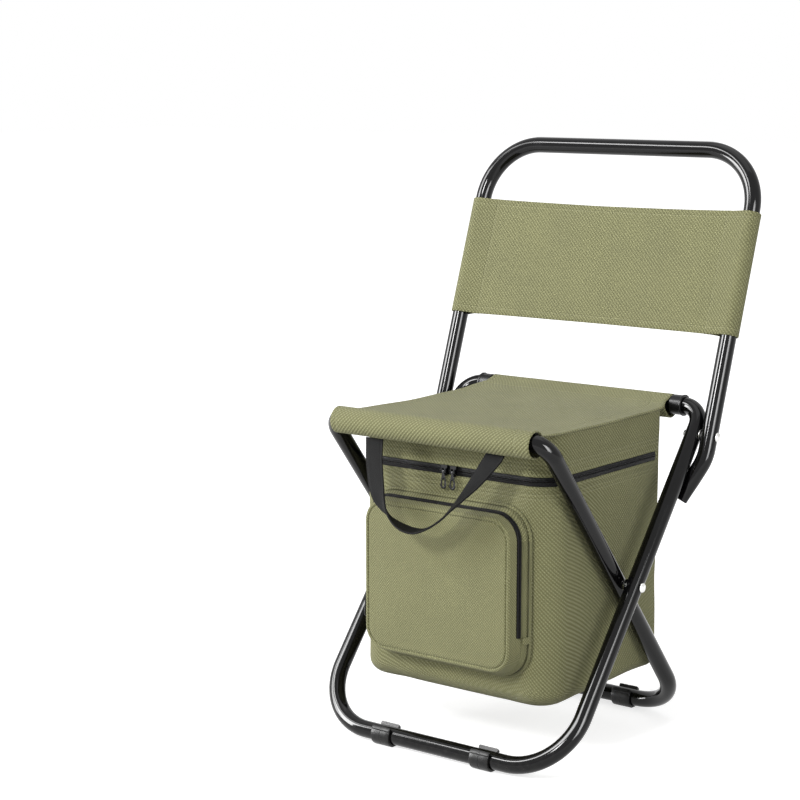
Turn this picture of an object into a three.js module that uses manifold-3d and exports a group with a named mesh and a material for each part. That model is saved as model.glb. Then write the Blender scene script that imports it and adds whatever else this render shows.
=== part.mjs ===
// Folding cooler stool: a scissor frame of bent tube with a folding backrest, a seat sling
// and an insulated bag that hangs under the seat.
// Millimetres, +Z up. The user's front is -Y, X runs across the seat, and the floor is z = 0.
import * as THREE from "three";
import { mergeVertices } from "three/addons/utils/BufferGeometryUtils.js";
import Module from "manifold-3d";

const wasm = await Module();
wasm.setup();

// Clearances, and how near two corners lie to count as one
const SEAT_GAP = 0.3;
const CUT_OVERRUN = 5;
const WELD = 1e-4;

// Bent tube
const TUBE_DIAMETER = 17;
const TUBE_WALL = 1;
const TUBE_SIDES = 16;
const TUBE_BORE_SIDES = 10;
const BEND_STEPS = 7;
const FRAME_SPACE = 1.4;

// Scissor frame, measured on the tube's centre line from the crossing rivets
const OUTER_HALF_WIDTH = 147;
const PIVOT_HEIGHT = 168.5;
const OUTER_FOOT_REACH = 126;
const OUTER_SEAT_REACH = 127;
const INNER_FOOT_REACH = 129;
const INNER_SEAT_REACH = 128.5;
const OUTER_FOOT_BEND = 62;
const INNER_FOOT_BEND = 56;
const SEAT_BEND = 22;
const SPLICE_LENGTH = 46;
const SPLICE_WALL = 1.5;

// Foot clips
const CLIP_PAD = 2.2;
const CLIP_WALL = 2.5;
const CLIP_LENGTH = 22;
const CLIP_MARGIN = 12.6;
const CLIP_MOUTH_SHARE = 0.2;
const CLIP_RIDGE = 1;
const CLIP_RIDGE_SHARE = 0.06;
const CLIP_STEPS = 24;

// Rivets and washers
const RIVET_HEAD_DIAMETER = 9.5;
const RIVET_HEAD_HEIGHT = 2.6;
const RIVET_SHANK_DIAMETER = 5;
const RIVET_TAIL_DIAMETER = 8;
const RIVET_TAIL_HEIGHT = 1.6;
const RIVET_SIDES = 14;
const DOME_STEPS = 3;
const WASHER_DIAMETER = 12;

// Backrest frame, measured from its rivets
const BACKREST_PIVOT_DROP = 31.5;
const BACKREST_LEAN = THREE.MathUtils.degToRad(18.8);
const BACKREST_HEIGHT = 294;
const BACKREST_BEND = 62;
const STOP_STRAIGHT = 22.4;
const STOP_BEND = 46;
const STOP_DROP = 66;
const STOP_INSET = 20;
const STOP_FLAT_LENGTH = 26;
const STOP_FLAT_SHARE = 0.62;
const STOP_RING_SHARES = [1 / 3, 2 / 3];

// Fabric
const CLOTH = 1.5;
const SLEEVE_SIDES = 24;

// Seat sling
const SLING_FRONT_MARGIN = 11.6;
const SLING_REAR_MARGIN = 35.5;
const FRONT_SLEEVE_DIAMETER = 26.6;
const REAR_SLEEVE_DIAMETER = 24.5;
const SLING_SAG = 10;
const SLING_STEPS = 14;

// Collars on the rear seat bar
const COLLAR_DIAMETER = 22;
const COLLAR_LENGTH = 14;
const COLLAR_LIP = 0.8;
const COLLAR_LIP_LENGTH = 2.4;

// Backrest band
const BAND_FROM_PIVOT = 102;
const BAND_HEIGHT = 128;
const BAND_SAG = 4;
const BAND_STEPS = 12;

// Cooler bag, which hangs clear of the inner legs, of the seat bars and of the ground
const BAG_SIDE_CLEARANCE = 4.1;
const BAG_FRONT_CLEARANCE = 27.5;
const BAG_REAR_CLEARANCE = 26;
const BAG_GROUND_CLEARANCE = 60;
const BAG_FRONT_CORNER = 30;
const BAG_REAR_CORNER = 11;
const BAG_CORNER_STEPS = 5;
const BAG_BOTTOM_ROUND = 14;
const LID_DEPTH = 44.2;
const ZIP_TAPE = 4.2;
const ZIP_PROUD = 0.6;
const FOAM = 5;
const LINER = 0.8;
const LID_FOAM = 6;
const ROUND_STEPS = 3;

// Zip sliders and pulls
const SLIDER_WIDTH = 7.5;
const SLIDER_HEIGHT = 10.5;
const SLIDER_DEPTH = 2.6;
const SLIDER_HALF_SPACING = 5.4;
const SLIDER_NOSE_SHARE = 0.55;
const BAIL_CHEEK = 1;
const BAIL_HEIGHT = 4;
const PULL_LENGTH = 18;
const PULL_WIDTH = 6.4;
const PULL_NECK = 2.6;
const PULL_THICKNESS = 1.4;
const PULL_HOLE = 2.8;
const PULL_SIDES = 8;

// Front pocket, set in from the bag's sides, its foot and its zip
const POCKET_SIDE_MARGIN = 30;
const POCKET_FOOT_MARGIN = 38;
const POCKET_TOP_MARGIN = 33.5;
const POCKET_CORNER = 22;
const POCKET_CORNER_STEPS = 6;
const POCKET_PROUD = 24.5;
const POCKET_FLARE = 8;
const POCKET_FACE = 2.6;
const POCKET_FACE_ROUND = 5;
const POCKET_ZIP = 2.4;
const POCKET_GUSSET = 9.6;
const POCKET_ZIP_END_RISE = 34;
const PIPING = 2.4;
const PIPING_PROUD = 2.6;

// Carrying strap. The route's rows run from its left end to its right: shares of half the spacing across,
// of the reach forward and of the drop below the sleeve, and of a half turn of its width.
const STRAP_WIDTH = 21;
const STRAP_THICKNESS = 1.6;
const STRAP_MARGIN = 45;
const STRAP_FORWARD = 26;
const STRAP_DROP = 78;
const STRAP_STATIONS = 26;
const STRAP_ROUTE_SHARES = [
  [-1, 0, 0, 0],
  [-0.93, 0.24, 0.33, -0.05],
  [-0.74, 0.62, 0.68, -0.17],
  [-0.38, 0.88, 0.94, -0.3],
  [0, 1, 1, -0.42],
  [0.32, 0.96, 0.85, -0.38],
  [0.56, 0.8, 0.62, -0.3],
  [0.8, 0.42, 0.32, -0.13],
  [1, 0, 0, 0],
];

// Surfaces
const gloss = (color) => new THREE.MeshStandardMaterial({ color, roughness: 0.22, metalness: 0.3 });
const matt = (color) => new THREE.MeshStandardMaterial({ color, roughness: 0.55, metalness: 0 });
const BLACK_PAINT = 0x0b0b0d;
const BLACK_PLASTIC = 0x141416;
const ZINC = 0xc9c9c6;
const OLIVE = 0x7f7f4f;
const WEBBING = 0x19191b;
const FOAM_WHITE = 0xdedcd4;
const FOIL = 0xb9bcbf;

const TUBE_RADIUS = TUBE_DIAMETER / 2;
const FRAME_STEP = TUBE_DIAMETER + FRAME_SPACE;
const INNER_HALF_WIDTH = OUTER_HALF_WIDTH - FRAME_STEP;
const BACKREST_HALF_WIDTH = OUTER_HALF_WIDTH + FRAME_STEP;
const FOOT_BAR_HEIGHT = TUBE_RADIUS + CLIP_PAD;
const CLIP_HALF_SPACING = INNER_HALF_WIDTH - INNER_FOOT_BEND - CLIP_MARGIN;

// The leg lines in the side view: a line through the foot bar and the pivot, carried up to the seat bar.
// Each gives its lean from the vertical and its lengths below and above the pivot.
function legLine(footReach, seatReach, forward) {
  const drop = PIVOT_HEIGHT - FOOT_BAR_HEIGHT;
  const below = Math.hypot(footReach, drop);
  const above = below * (seatReach / footReach);
  const lean = Math.atan2(footReach, drop) * (forward ? 1 : -1);
  return { lean, below, above };
}
const OUTER = legLine(OUTER_FOOT_REACH, OUTER_SEAT_REACH, false);
const INNER = legLine(INNER_FOOT_REACH, INNER_SEAT_REACH, true);

// A point on a leg line at a signed distance up from the pivot, as y and z
function onLeg(leg, up) {
  return { y: -Math.sin(leg.lean) * up, z: PIVOT_HEIGHT + Math.cos(leg.lean) * up };
}
const REAR_BAR = onLeg(OUTER, OUTER.above);
const FRONT_BAR = onLeg(INNER, INNER.above);
const FRONT_FOOT = onLeg(OUTER, -OUTER.below);
const REAR_FOOT = onLeg(INNER, -INNER.below);
const BACKREST_PIVOT = onLeg(OUTER, OUTER.above - BACKREST_PIVOT_DROP);

// Geometry helpers

// Keeps positions only, welds shared corners and turns the faces outward
function solid(geometry) {
  const bare = geometry.index ? geometry.clone() : geometry;
  for (const name of Object.keys(bare.attributes)) {
    if (name !== "position") bare.deleteAttribute(name);
  }
  const welded = mergeVertices(bare, WELD);
  const p = welded.attributes.position;
  const index = welded.index;
  const a = new THREE.Vector3();
  const b = new THREE.Vector3();
  const c = new THREE.Vector3();
  let volume = 0;
  for (let i = 0; i < index.count; i += 3) {
    a.fromBufferAttribute(p, index.getX(i));
    b.fromBufferAttribute(p, index.getX(i + 1));
    c.fromBufferAttribute(p, index.getX(i + 2));
    volume += a.dot(b.cross(c));
  }
  if (volume < 0) {
    for (let i = 0; i < index.count; i += 3) {
      const first = index.getX(i);
      index.setX(i, index.getX(i + 1));
      index.setX(i + 1, first);
    }
  }
  return welded;
}

function toManifold(geometry) {
  const g = solid(geometry);
  return new wasm.Manifold(new wasm.Mesh({
    numProp: 3,
    vertProperties: new Float32Array(g.attributes.position.array),
    triVerts: new Uint32Array(g.index.array),
  }));
}

function fromManifold(shape) {
  const mesh = shape.getMesh();
  const g = new THREE.BufferGeometry();
  g.setAttribute("position", new THREE.BufferAttribute(new Float32Array(mesh.vertProperties), 3));
  g.setIndex(new THREE.BufferAttribute(new Uint32Array(mesh.triVerts), 1));
  return g;
}

function cut(geometry, cutters) {
  let body = toManifold(geometry);
  for (const cutter of cutters) body = body.subtract(toManifold(cutter));
  return fromManifold(body);
}

function join(geometries) {
  let body = toManifold(geometries[0]);
  for (const other of geometries.slice(1)) body = body.add(toManifold(other));
  return fromManifold(body);
}

const moved = (geometry, x, y, z) => geometry.clone().translate(x, y, z);

// A straight round bar along X, centred on its middle
function barAlongX(radius, length, sides) {
  return new THREE.CylinderGeometry(radius, radius, length, sides).rotateZ(Math.PI / 2);
}

function circlePoints(radius, sides) {
  const points = [];
  for (let i = 0; i < sides; i++) {
    const turn = (2 * Math.PI * i) / sides;
    points.push(new THREE.Vector2(radius * Math.cos(turn), radius * Math.sin(turn)));
  }
  return points;
}

// A path that stops only where a bent tube needs a ring: at the ends of its straight runs and along its bends
class BentPath extends THREE.Curve {
  constructor(corners, bends) {
    super();
    this.stations = [];
    const first = corners[0];
    const last = corners[corners.length - 1];
    this.stations.push({ at: first, along: corners[1].clone().sub(first).normalize() });
    for (let i = 1; i < corners.length - 1; i++) {
      const into = corners[i].clone().sub(corners[i - 1]).normalize();
      const out = corners[i + 1].clone().sub(corners[i]).normalize();
      const turn = into.angleTo(out);
      const radius = bends[i - 1];
      const start = corners[i].clone().addScaledVector(into, -radius * Math.tan(turn / 2));
      const side = out.clone().addScaledVector(into, -out.dot(into)).normalize();
      for (let k = 0; k <= BEND_STEPS; k++) {
        const t = (turn * k) / BEND_STEPS;
        const at = start.clone()
          .addScaledVector(into, radius * Math.sin(t))
          .addScaledVector(side, radius * (1 - Math.cos(t)));
        const along = into.clone().multiplyScalar(Math.cos(t)).addScaledVector(side, Math.sin(t));
        this.stations.push({ at, along });
      }
    }
    this.stations.push({ at: last, along: last.clone().sub(corners[corners.length - 2]).normalize() });
  }
  get steps() {
    return this.stations.length - 1;
  }
  getPointAt(u, target = new THREE.Vector3()) {
    return target.copy(this.stations[Math.round(u * this.steps)].at);
  }
  getTangentAt(u, target = new THREE.Vector3()) {
    return target.copy(this.stations[Math.round(u * this.steps)].along);
  }
}

// A hollow tube along a bent path, with open ends
function tube(path, radius, wall) {
  const section = new THREE.Shape(circlePoints(radius, TUBE_SIDES));
  section.holes.push(new THREE.Path(circlePoints(radius - wall, TUBE_BORE_SIDES)));
  return new THREE.ExtrudeGeometry(section, { steps: path.steps, extrudePath: path, bevelEnabled: false });
}

// A closed body through rings of equal count, each a list of Vector3, with a flat fan over both ends
function loft(rings) {
  const count = rings[0].length;
  const positions = [];
  const index = [];
  for (const ring of rings) for (const v of ring) positions.push(v.x, v.y, v.z);
  for (let r = 0; r + 1 < rings.length; r++) {
    for (let i = 0; i < count; i++) {
      const j = (i + 1) % count;
      const a = r * count + i;
      const b = r * count + j;
      index.push(a, b, b + count, a, b + count, a + count);
    }
  }
  for (const [r, flip] of [[0, true], [rings.length - 1, false]]) {
    const centre = new THREE.Vector3();
    for (const v of rings[r]) centre.add(v);
    centre.divideScalar(count);
    const hub = positions.length / 3;
    positions.push(centre.x, centre.y, centre.z);
    for (let i = 0; i < count; i++) {
      const a = r * count + i;
      const b = r * count + ((i + 1) % count);
      index.push(...(flip ? [hub, b, a] : [hub, a, b]));
    }
  }
  const g = new THREE.BufferGeometry();
  g.setAttribute("position", new THREE.BufferAttribute(new Float32Array(positions), 3));
  g.setIndex(index);
  return g;
}

// A closed ring: the last ring of points joins the first, so the body has a hole through it
function loftLoop(rings) {
  const count = rings[0].length;
  const index = [];
  for (let r = 0; r < rings.length; r++) {
    const next = ((r + 1) % rings.length) * count;
    for (let i = 0; i < count; i++) {
      const j = (i + 1) % count;
      index.push(r * count + i, r * count + j, next + j, r * count + i, next + j, next + i);
    }
  }
  const g = new THREE.BufferGeometry();
  const positions = rings.flat().flatMap((v) => [v.x, v.y, v.z]);
  g.setAttribute("position", new THREE.BufferAttribute(new Float32Array(positions), 3));
  g.setIndex(index);
  return g;
}

// The points of a rectangle with round corners, drawn in by an inset that keeps the corners concentric.
// Its middle is a place along Y, and its two corners towards -Y can differ in radius from the other two.
function roundedRect({ middle, halfWidth, halfDepth, lowCorner, highCorner, steps }, inset) {
  const w = halfWidth - inset;
  const d = halfDepth - inset;
  const points = [];
  for (const [sx, sy, from] of [[1, 1, 0], [-1, 1, 1], [-1, -1, 2], [1, -1, 3]]) {
    const r = Math.max((sy > 0 ? highCorner : lowCorner) - inset, SEAT_GAP);
    for (let k = 0; k <= steps; k++) {
      const turn = (Math.PI / 2) * (from + k / steps);
      const x = sx * (w - r) + r * Math.cos(turn);
      points.push(new THREE.Vector2(x, middle + sy * (d - r) + r * Math.sin(turn)));
    }
  }
  return points;
}

// A vessel with a rounded rectangular plan: each step of the profile is an inset and a height
function vessel(plan, profile) {
  return loft(profile.map(({ inset, z }) => roundedRect(plan, inset)
    .map((p) => new THREE.Vector3(p.x, p.y, z))));
}

// A flat ring with a rounded rectangular plan, standing from the lower height to the upper one
function wallRing(plan, outerInset, innerInset, low, high) {
  const shape = new THREE.Shape(roundedRect(plan, outerInset));
  shape.holes.push(new THREE.Path(roundedRect(plan, innerInset)));
  const g = new THREE.ExtrudeGeometry(shape, { depth: high - low, bevelEnabled: false });
  return g.translate(0, 0, low);
}

function box(x0, x1, y0, y1, z0, z1) {
  return new THREE.BoxGeometry(x1 - x0, y1 - y0, z1 - z0)
    .translate((x0 + x1) / 2, (y0 + y1) / 2, (z0 + z1) / 2);
}

const stool = new THREE.Group();

function add(parent, name, geometry, material) {
  const mesh = new THREE.Mesh(solid(geometry), material);
  mesh.name = name;
  parent.add(mesh);
  return mesh;
}

// A group in the plane of a leg frame: its x is across, its z runs up the leg, and its origin is the pivot
function legPlane(leg) {
  const plane = new THREE.Group();
  plane.position.z = PIVOT_HEIGHT;
  plane.rotation.x = leg.lean;
  stool.add(plane);
  return plane;
}

// A leg frame: one tube bent into a loop, its two ends facing each other in the middle of the seat bar
function loopFrame(halfWidth, leg, footBend) {
  const x = halfWidth;
  const top = leg.above;
  const foot = -leg.below;
  const end = SEAT_GAP / 2;
  const corners = [[end, top], [x, top], [x, foot], [-x, foot], [-x, top], [-end, top]]
    .map(([cx, cz]) => new THREE.Vector3(cx, 0, cz));
  return tube(new BentPath(corners, [SEAT_BEND, footBend, footBend, SEAT_BEND]), TUBE_RADIUS, TUBE_WALL);
}

// Holes across both legs of a frame for its rivets, at a height in the frame's own plane
function rivetHoles(halfWidth, up) {
  const radius = RIVET_SHANK_DIAMETER / 2 + SEAT_GAP;
  const length = TUBE_DIAMETER + CUT_OVERRUN;
  return [-1, 1].map((side) => moved(barAlongX(radius, length, RIVET_SIDES), side * halfWidth, 0, up));
}

// The plug inside the tube that holds its two ends in line
function splice(leg) {
  const radius = (TUBE_RADIUS - TUBE_WALL) * Math.cos(Math.PI / TUBE_BORE_SIDES) - SEAT_GAP;
  const profile = [
    [radius - SPLICE_WALL, -SPLICE_LENGTH / 2], [radius, -SPLICE_LENGTH / 2],
    [radius, SPLICE_LENGTH / 2], [radius - SPLICE_WALL, SPLICE_LENGTH / 2],
    [radius - SPLICE_WALL, -SPLICE_LENGTH / 2],
  ].map(([r, h]) => new THREE.Vector2(r, h));
  return moved(new THREE.LatheGeometry(profile, TUBE_BORE_SIDES).rotateZ(Math.PI / 2), 0, 0, leg.above);
}

const outerPlane = legPlane(OUTER);
const innerPlane = legPlane(INNER);
add(
  outerPlane,
  "outer_leg_frame",
  cut(loopFrame(OUTER_HALF_WIDTH, OUTER, OUTER_FOOT_BEND), [
    ...rivetHoles(OUTER_HALF_WIDTH, 0),
    ...rivetHoles(OUTER_HALF_WIDTH, OUTER.above - BACKREST_PIVOT_DROP),
  ]),
  gloss(BLACK_PAINT),
);
add(
  innerPlane,
  "inner_leg_frame",
  cut(loopFrame(INNER_HALF_WIDTH, INNER, INNER_FOOT_BEND), rivetHoles(INNER_HALF_WIDTH, 0)),
  gloss(BLACK_PAINT),
);
add(outerPlane, "outer_frame_splice", splice(OUTER), matt(ZINC));
add(innerPlane, "inner_frame_splice", splice(INNER), matt(ZINC));

// A rivet through two tubes: a domed head outside, a shank, and a low closed head inside.
// It lies along X with its head towards +X, and x = 0 is the middle of the washer between the tubes.
function rivet() {
  const reach = FRAME_SPACE / 2 + TUBE_DIAMETER + SEAT_GAP;
  const headRadius = RIVET_HEAD_DIAMETER / 2;
  const shank = RIVET_SHANK_DIAMETER / 2;
  const tailRadius = RIVET_TAIL_DIAMETER / 2;
  const profile = [];
  for (let k = 0; k <= DOME_STEPS; k++) {
    const t = ((Math.PI / 2) * k) / DOME_STEPS;
    profile.push([tailRadius * Math.sin(t), -reach - RIVET_TAIL_HEIGHT * Math.cos(t)]);
  }
  profile.push([shank, -reach], [shank, reach]);
  for (let k = DOME_STEPS; k >= 0; k--) {
    const t = ((Math.PI / 2) * k) / DOME_STEPS;
    profile.push([headRadius * Math.sin(t), reach + RIVET_HEAD_HEIGHT * Math.cos(t)]);
  }
  return new THREE.LatheGeometry(profile.map(([r, h]) => new THREE.Vector2(r, h)), RIVET_SIDES)
    .rotateZ(-Math.PI / 2);
}

function washer() {
  const outer = WASHER_DIAMETER / 2;
  const inner = RIVET_SHANK_DIAMETER / 2 + SEAT_GAP;
  const half = FRAME_SPACE / 2 - SEAT_GAP;
  const profile = [[inner, -half], [outer, -half], [outer, half], [inner, half], [inner, -half]];
  return new THREE.LatheGeometry(profile.map(([r, h]) => new THREE.Vector2(r, h)), RIVET_SIDES)
    .rotateZ(-Math.PI / 2);
}

const SIDES = [["left", -1], ["right", 1]];
for (const [word, side] of SIDES) {
  for (const [kind, between, at] of [
    ["frame", OUTER_HALF_WIDTH - FRAME_STEP / 2, { y: 0, z: PIVOT_HEIGHT }],
    ["backrest", OUTER_HALF_WIDTH + FRAME_STEP / 2, BACKREST_PIVOT],
  ]) {
    const head = add(stool, `${kind}_rivet_${word}`, rivet(), matt(ZINC));
    head.position.set(side * between, at.y, at.z);
    head.rotation.z = side > 0 ? 0 : Math.PI;
    const spacer = add(stool, `${kind}_washer_${word}`, washer(), matt(ZINC));
    spacer.position.set(side * between, at.y, at.z);
  }
}

// A foot clip: a C that snaps on the foot bar from below, with a flat pad and a raised ridge on each lip
function footClip() {
  const inner = TUBE_RADIUS + SEAT_GAP;
  const outer = inner + CLIP_WALL;
  const pad = -FOOT_BAR_HEIGHT;
  const mouth = Math.PI * CLIP_MOUTH_SHARE;
  const ridge = Math.PI * CLIP_RIDGE_SHARE;
  const from = Math.PI / 2 + mouth;
  const sweep = 2 * (Math.PI - mouth);
  const outside = [];
  const inside = [];
  for (let k = 0; k <= CLIP_STEPS; k++) {
    const turn = from + (sweep * k) / CLIP_STEPS;
    const onLip = Math.min(turn - from, from + sweep - turn) < ridge * 2;
    const radius = outer + (onLip ? CLIP_RIDGE : 0);
    const z = Math.max(radius * Math.sin(turn), pad);
    outside.push(new THREE.Vector2(radius * Math.cos(turn), z));
    inside.push(new THREE.Vector2(inner * Math.cos(turn), inner * Math.sin(turn)));
  }
  const shape = new THREE.Shape([...outside, ...inside.reverse()]);
  const g = new THREE.ExtrudeGeometry(shape, { depth: CLIP_LENGTH, bevelEnabled: false });
  return g.translate(0, 0, -CLIP_LENGTH / 2).rotateX(Math.PI / 2).rotateZ(Math.PI / 2);
}
for (const [end, at] of [["front", FRONT_FOOT], ["rear", REAR_FOOT]]) {
  for (const [word, side] of SIDES) {
    const clip = add(stool, `foot_clip_${end}_${word}`, footClip(), matt(BLACK_PLASTIC));
    clip.position.set(side * CLIP_HALF_SPACING, at.y, at.z);
  }
}

// Seat sling: a sagging sheet between two sleeves. Each sleeve hangs from the top of its bar.
function sleeveCentre(bar, diameter) {
  return { y: bar.y, z: bar.z + TUBE_RADIUS + SEAT_GAP + CLOTH - diameter / 2 };
}
const SLING_FRONT_HALF_WIDTH = INNER_HALF_WIDTH - SLING_FRONT_MARGIN;
const SLING_REAR_HALF_WIDTH = OUTER_HALF_WIDTH - SLING_REAR_MARGIN;
const FRONT_SLEEVE = sleeveCentre(FRONT_BAR, FRONT_SLEEVE_DIAMETER);
const REAR_SLEEVE = sleeveCentre(REAR_BAR, REAR_SLEEVE_DIAMETER);

// The height of the sling's top face at a depth y: steep at both bars and nearly level between them
function slingTop(y) {
  const t = (y - FRONT_SLEEVE.y) / (REAR_SLEEVE.y - FRONT_SLEEVE.y);
  const front = FRONT_SLEEVE.z + FRONT_SLEEVE_DIAMETER / 2;
  const rear = REAR_SLEEVE.z + REAR_SLEEVE_DIAMETER / 2;
  const nearBar = (2 * t - 1) ** 2;
  return front + (rear - front) * t - SLING_SAG * (1 - nearBar ** 2);
}

// A side-view outline between two height functions of y, as a slab across X
function slabAcross(bottom, top, y0, y1, halfWidth, steps) {
  const points = [];
  for (let k = 0; k <= steps; k++) points.push([y0 + ((y1 - y0) * k) / steps, bottom]);
  for (let k = steps; k >= 0; k--) points.push([y0 + ((y1 - y0) * k) / steps, top]);
  const shape = new THREE.Shape(points.map(([y, height]) => new THREE.Vector2(y, height(y))));
  const g = new THREE.ExtrudeGeometry(shape, { depth: 2 * halfWidth, bevelEnabled: false });
  return g.translate(0, 0, -halfWidth).rotateX(Math.PI / 2).rotateZ(Math.PI / 2);
}

function sleeve(centre, diameter, halfWidth) {
  return moved(barAlongX(diameter / 2, 2 * halfWidth, SLEEVE_SIDES), 0, centre.y, centre.z);
}

function sling() {
  const half = SLING_FRONT_HALF_WIDTH;
  const sheet = slabAcross(
    (y) => slingTop(y) - CLOTH, slingTop, FRONT_SLEEVE.y, REAR_SLEEVE.y, half, SLING_STEPS,
  );
  const outside = join([
    sheet,
    sleeve(FRONT_SLEEVE, FRONT_SLEEVE_DIAMETER, half),
    sleeve(REAR_SLEEVE, REAR_SLEEVE_DIAMETER, half),
  ]);
  const hollow = cut(outside, [
    sleeve(FRONT_SLEEVE, FRONT_SLEEVE_DIAMETER - 2 * CLOTH, half + CUT_OVERRUN),
    sleeve(REAR_SLEEVE, REAR_SLEEVE_DIAMETER - 2 * CLOTH, half + CUT_OVERRUN),
  ]);
  const taperFrom = FRONT_SLEEVE.y + FRONT_SLEEVE_DIAMETER / 2;
  const taperTo = REAR_SLEEVE.y - REAR_SLEEVE_DIAMETER / 2;
  const p = hollow.attributes.position;
  for (let i = 0; i < p.count; i++) {
    const t = THREE.MathUtils.clamp((p.getY(i) - taperFrom) / (taperTo - taperFrom), 0, 1);
    const share = (half + (SLING_REAR_HALF_WIDTH - half) * t) / half;
    p.setX(i, p.getX(i) * share);
  }
  return hollow;
}
add(stool, "seat_sling", sling(), matt(OLIVE));

// Collars on the rear seat bar, between the sling and the bends
function collar() {
  const inner = TUBE_RADIUS + SEAT_GAP;
  const outer = COLLAR_DIAMETER / 2;
  const half = COLLAR_LENGTH / 2;
  const profile = [
    [inner, -half], [outer - COLLAR_LIP, -half], [outer - COLLAR_LIP, half - COLLAR_LIP_LENGTH],
    [outer, half - COLLAR_LIP_LENGTH], [outer, half], [inner, half], [inner, -half],
  ];
  return new THREE.LatheGeometry(profile.map(([r, h]) => new THREE.Vector2(r, h)), TUBE_SIDES)
    .rotateZ(-Math.PI / 2);
}
for (const [word, side] of SIDES) {
  const ring = add(outerPlane, `rear_bar_collar_${word}`, collar(), matt(BLACK_PLASTIC));
  const start = SLING_REAR_HALF_WIDTH + SEAT_GAP;
  ring.position.set(side * (start + COLLAR_LENGTH / 2), 0, OUTER.above);
  ring.rotation.z = side > 0 ? 0 : Math.PI;
}

// Backrest: a group whose origin is the rivet axis and whose z runs up the uprights
const backrest = new THREE.Group();
backrest.position.set(0, BACKREST_PIVOT.y, BACKREST_PIVOT.z);
backrest.rotation.x = -BACKREST_LEAN;
stool.add(backrest);

// The uprights run down past the rivets, then bend inward, and their last stretch is pressed flat
function backrestTube() {
  const x = BACKREST_HALF_WIDTH;
  const top = BACKREST_HEIGHT;
  const inner = x - STOP_INSET;
  const corners = [
    [-inner, -STOP_DROP], [-x, -STOP_STRAIGHT], [-x, top], [x, top], [x, -STOP_STRAIGHT], [inner, -STOP_DROP],
  ];
  const bends = [STOP_BEND, BACKREST_BEND, BACKREST_BEND, STOP_BEND];
  const path = new BentPath(corners.map(([cx, cz]) => new THREE.Vector3(cx, 0, cz)), bends);
  const flatSteps = (tip, sign, shares) => shares.map((share) => ({
    at: tip.at.clone().addScaledVector(tip.along, sign * share * STOP_FLAT_LENGTH),
    along: tip.along,
  }));
  const firstEnd = flatSteps(path.stations[0], 1, STOP_RING_SHARES);
  const lastEnd = flatSteps(path.stations[path.steps], -1, STOP_RING_SHARES.toReversed());
  path.stations.splice(path.steps, 0, ...lastEnd);
  path.stations.splice(1, 0, ...firstEnd);
  const g = tube(path, TUBE_RADIUS, TUBE_WALL);
  const p = g.attributes.position;
  const flatTop = -STOP_DROP + STOP_FLAT_LENGTH;
  for (let i = 0; i < p.count; i++) {
    const t = THREE.MathUtils.clamp((flatTop - p.getZ(i)) / STOP_FLAT_LENGTH, 0, 1);
    p.setY(i, p.getY(i) * (1 - (1 - STOP_FLAT_SHARE) * t));
  }
  return g;
}
add(backrest, "backrest_frame", cut(backrestTube(), rivetHoles(BACKREST_HALF_WIDTH, 0)), gloss(BLACK_PAINT));

// Backrest band: a sheet in front of the uprights, slack in its middle, with a sleeve round each upright
function band() {
  const x = BACKREST_HALF_WIDTH;
  const ring = TUBE_RADIUS + SEAT_GAP + CLOTH;
  const front = -ring;
  const halfPoints = [];
  for (let k = 0; k <= BAND_STEPS; k++) {
    const across = -1 + (2 * k) / BAND_STEPS;
    halfPoints.push([across * x, front + BAND_SAG * (1 - across * across)]);
  }
  const outline = [
    ...halfPoints.map(([px, py]) => new THREE.Vector2(px, py)),
    ...halfPoints.reverse().map(([px, py]) => new THREE.Vector2(px, py + CLOTH)),
  ];
  const extrude = { depth: BAND_HEIGHT, bevelEnabled: false };
  const bodies = [new THREE.ExtrudeGeometry(new THREE.Shape(outline), extrude)];
  const bores = [];
  for (const side of [-1, 1]) {
    const disc = new THREE.Shape(circlePoints(ring, SLEEVE_SIDES));
    bodies.push(moved(new THREE.ExtrudeGeometry(disc, extrude), side * x, 0, 0));
    const hole = new THREE.Shape(circlePoints(ring - CLOTH, SLEEVE_SIDES));
    const deep = { depth: BAND_HEIGHT + 2 * CUT_OVERRUN, bevelEnabled: false };
    bores.push(moved(new THREE.ExtrudeGeometry(hole, deep), side * x, 0, -CUT_OVERRUN));
  }
  return moved(cut(join(bodies), bores), 0, 0, BAND_FROM_PIVOT);
}
add(backrest, "backrest_fabric", band(), matt(OLIVE));

// Cooler bag, with large round corners in front and small ones behind
const BAG_HALF_WIDTH = INNER_HALF_WIDTH - TUBE_RADIUS - BAG_SIDE_CLEARANCE;
const BAG_FRONT = FRONT_BAR.y + BAG_FRONT_CLEARANCE;
const BAG_REAR = REAR_BAR.y - BAG_REAR_CLEARANCE;
const BAG = {
  middle: (BAG_FRONT + BAG_REAR) / 2,
  halfWidth: BAG_HALF_WIDTH,
  halfDepth: (BAG_REAR - BAG_FRONT) / 2,
  lowCorner: BAG_FRONT_CORNER,
  highCorner: BAG_REAR_CORNER,
  steps: BAG_CORNER_STEPS,
};

// The zip runs a lid's depth under the lowest part of the sling over the bag
const slingLow = Math.min(...Array.from({ length: SLING_STEPS + 1 }, (_, k) => {
  const y = BAG_FRONT + ((BAG_REAR - BAG_FRONT) * k) / SLING_STEPS;
  return slingTop(y) - CLOTH;
}));
const ZIP_HEIGHT = slingLow - LID_DEPTH;
const TUB_TOP = ZIP_HEIGHT - SEAT_GAP / 2;
const TAPE_LOW = TUB_TOP - ZIP_TAPE;
const LID_LOW = ZIP_HEIGHT + SEAT_GAP / 2;
const TAPE_HIGH = LID_LOW + ZIP_TAPE;

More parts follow.
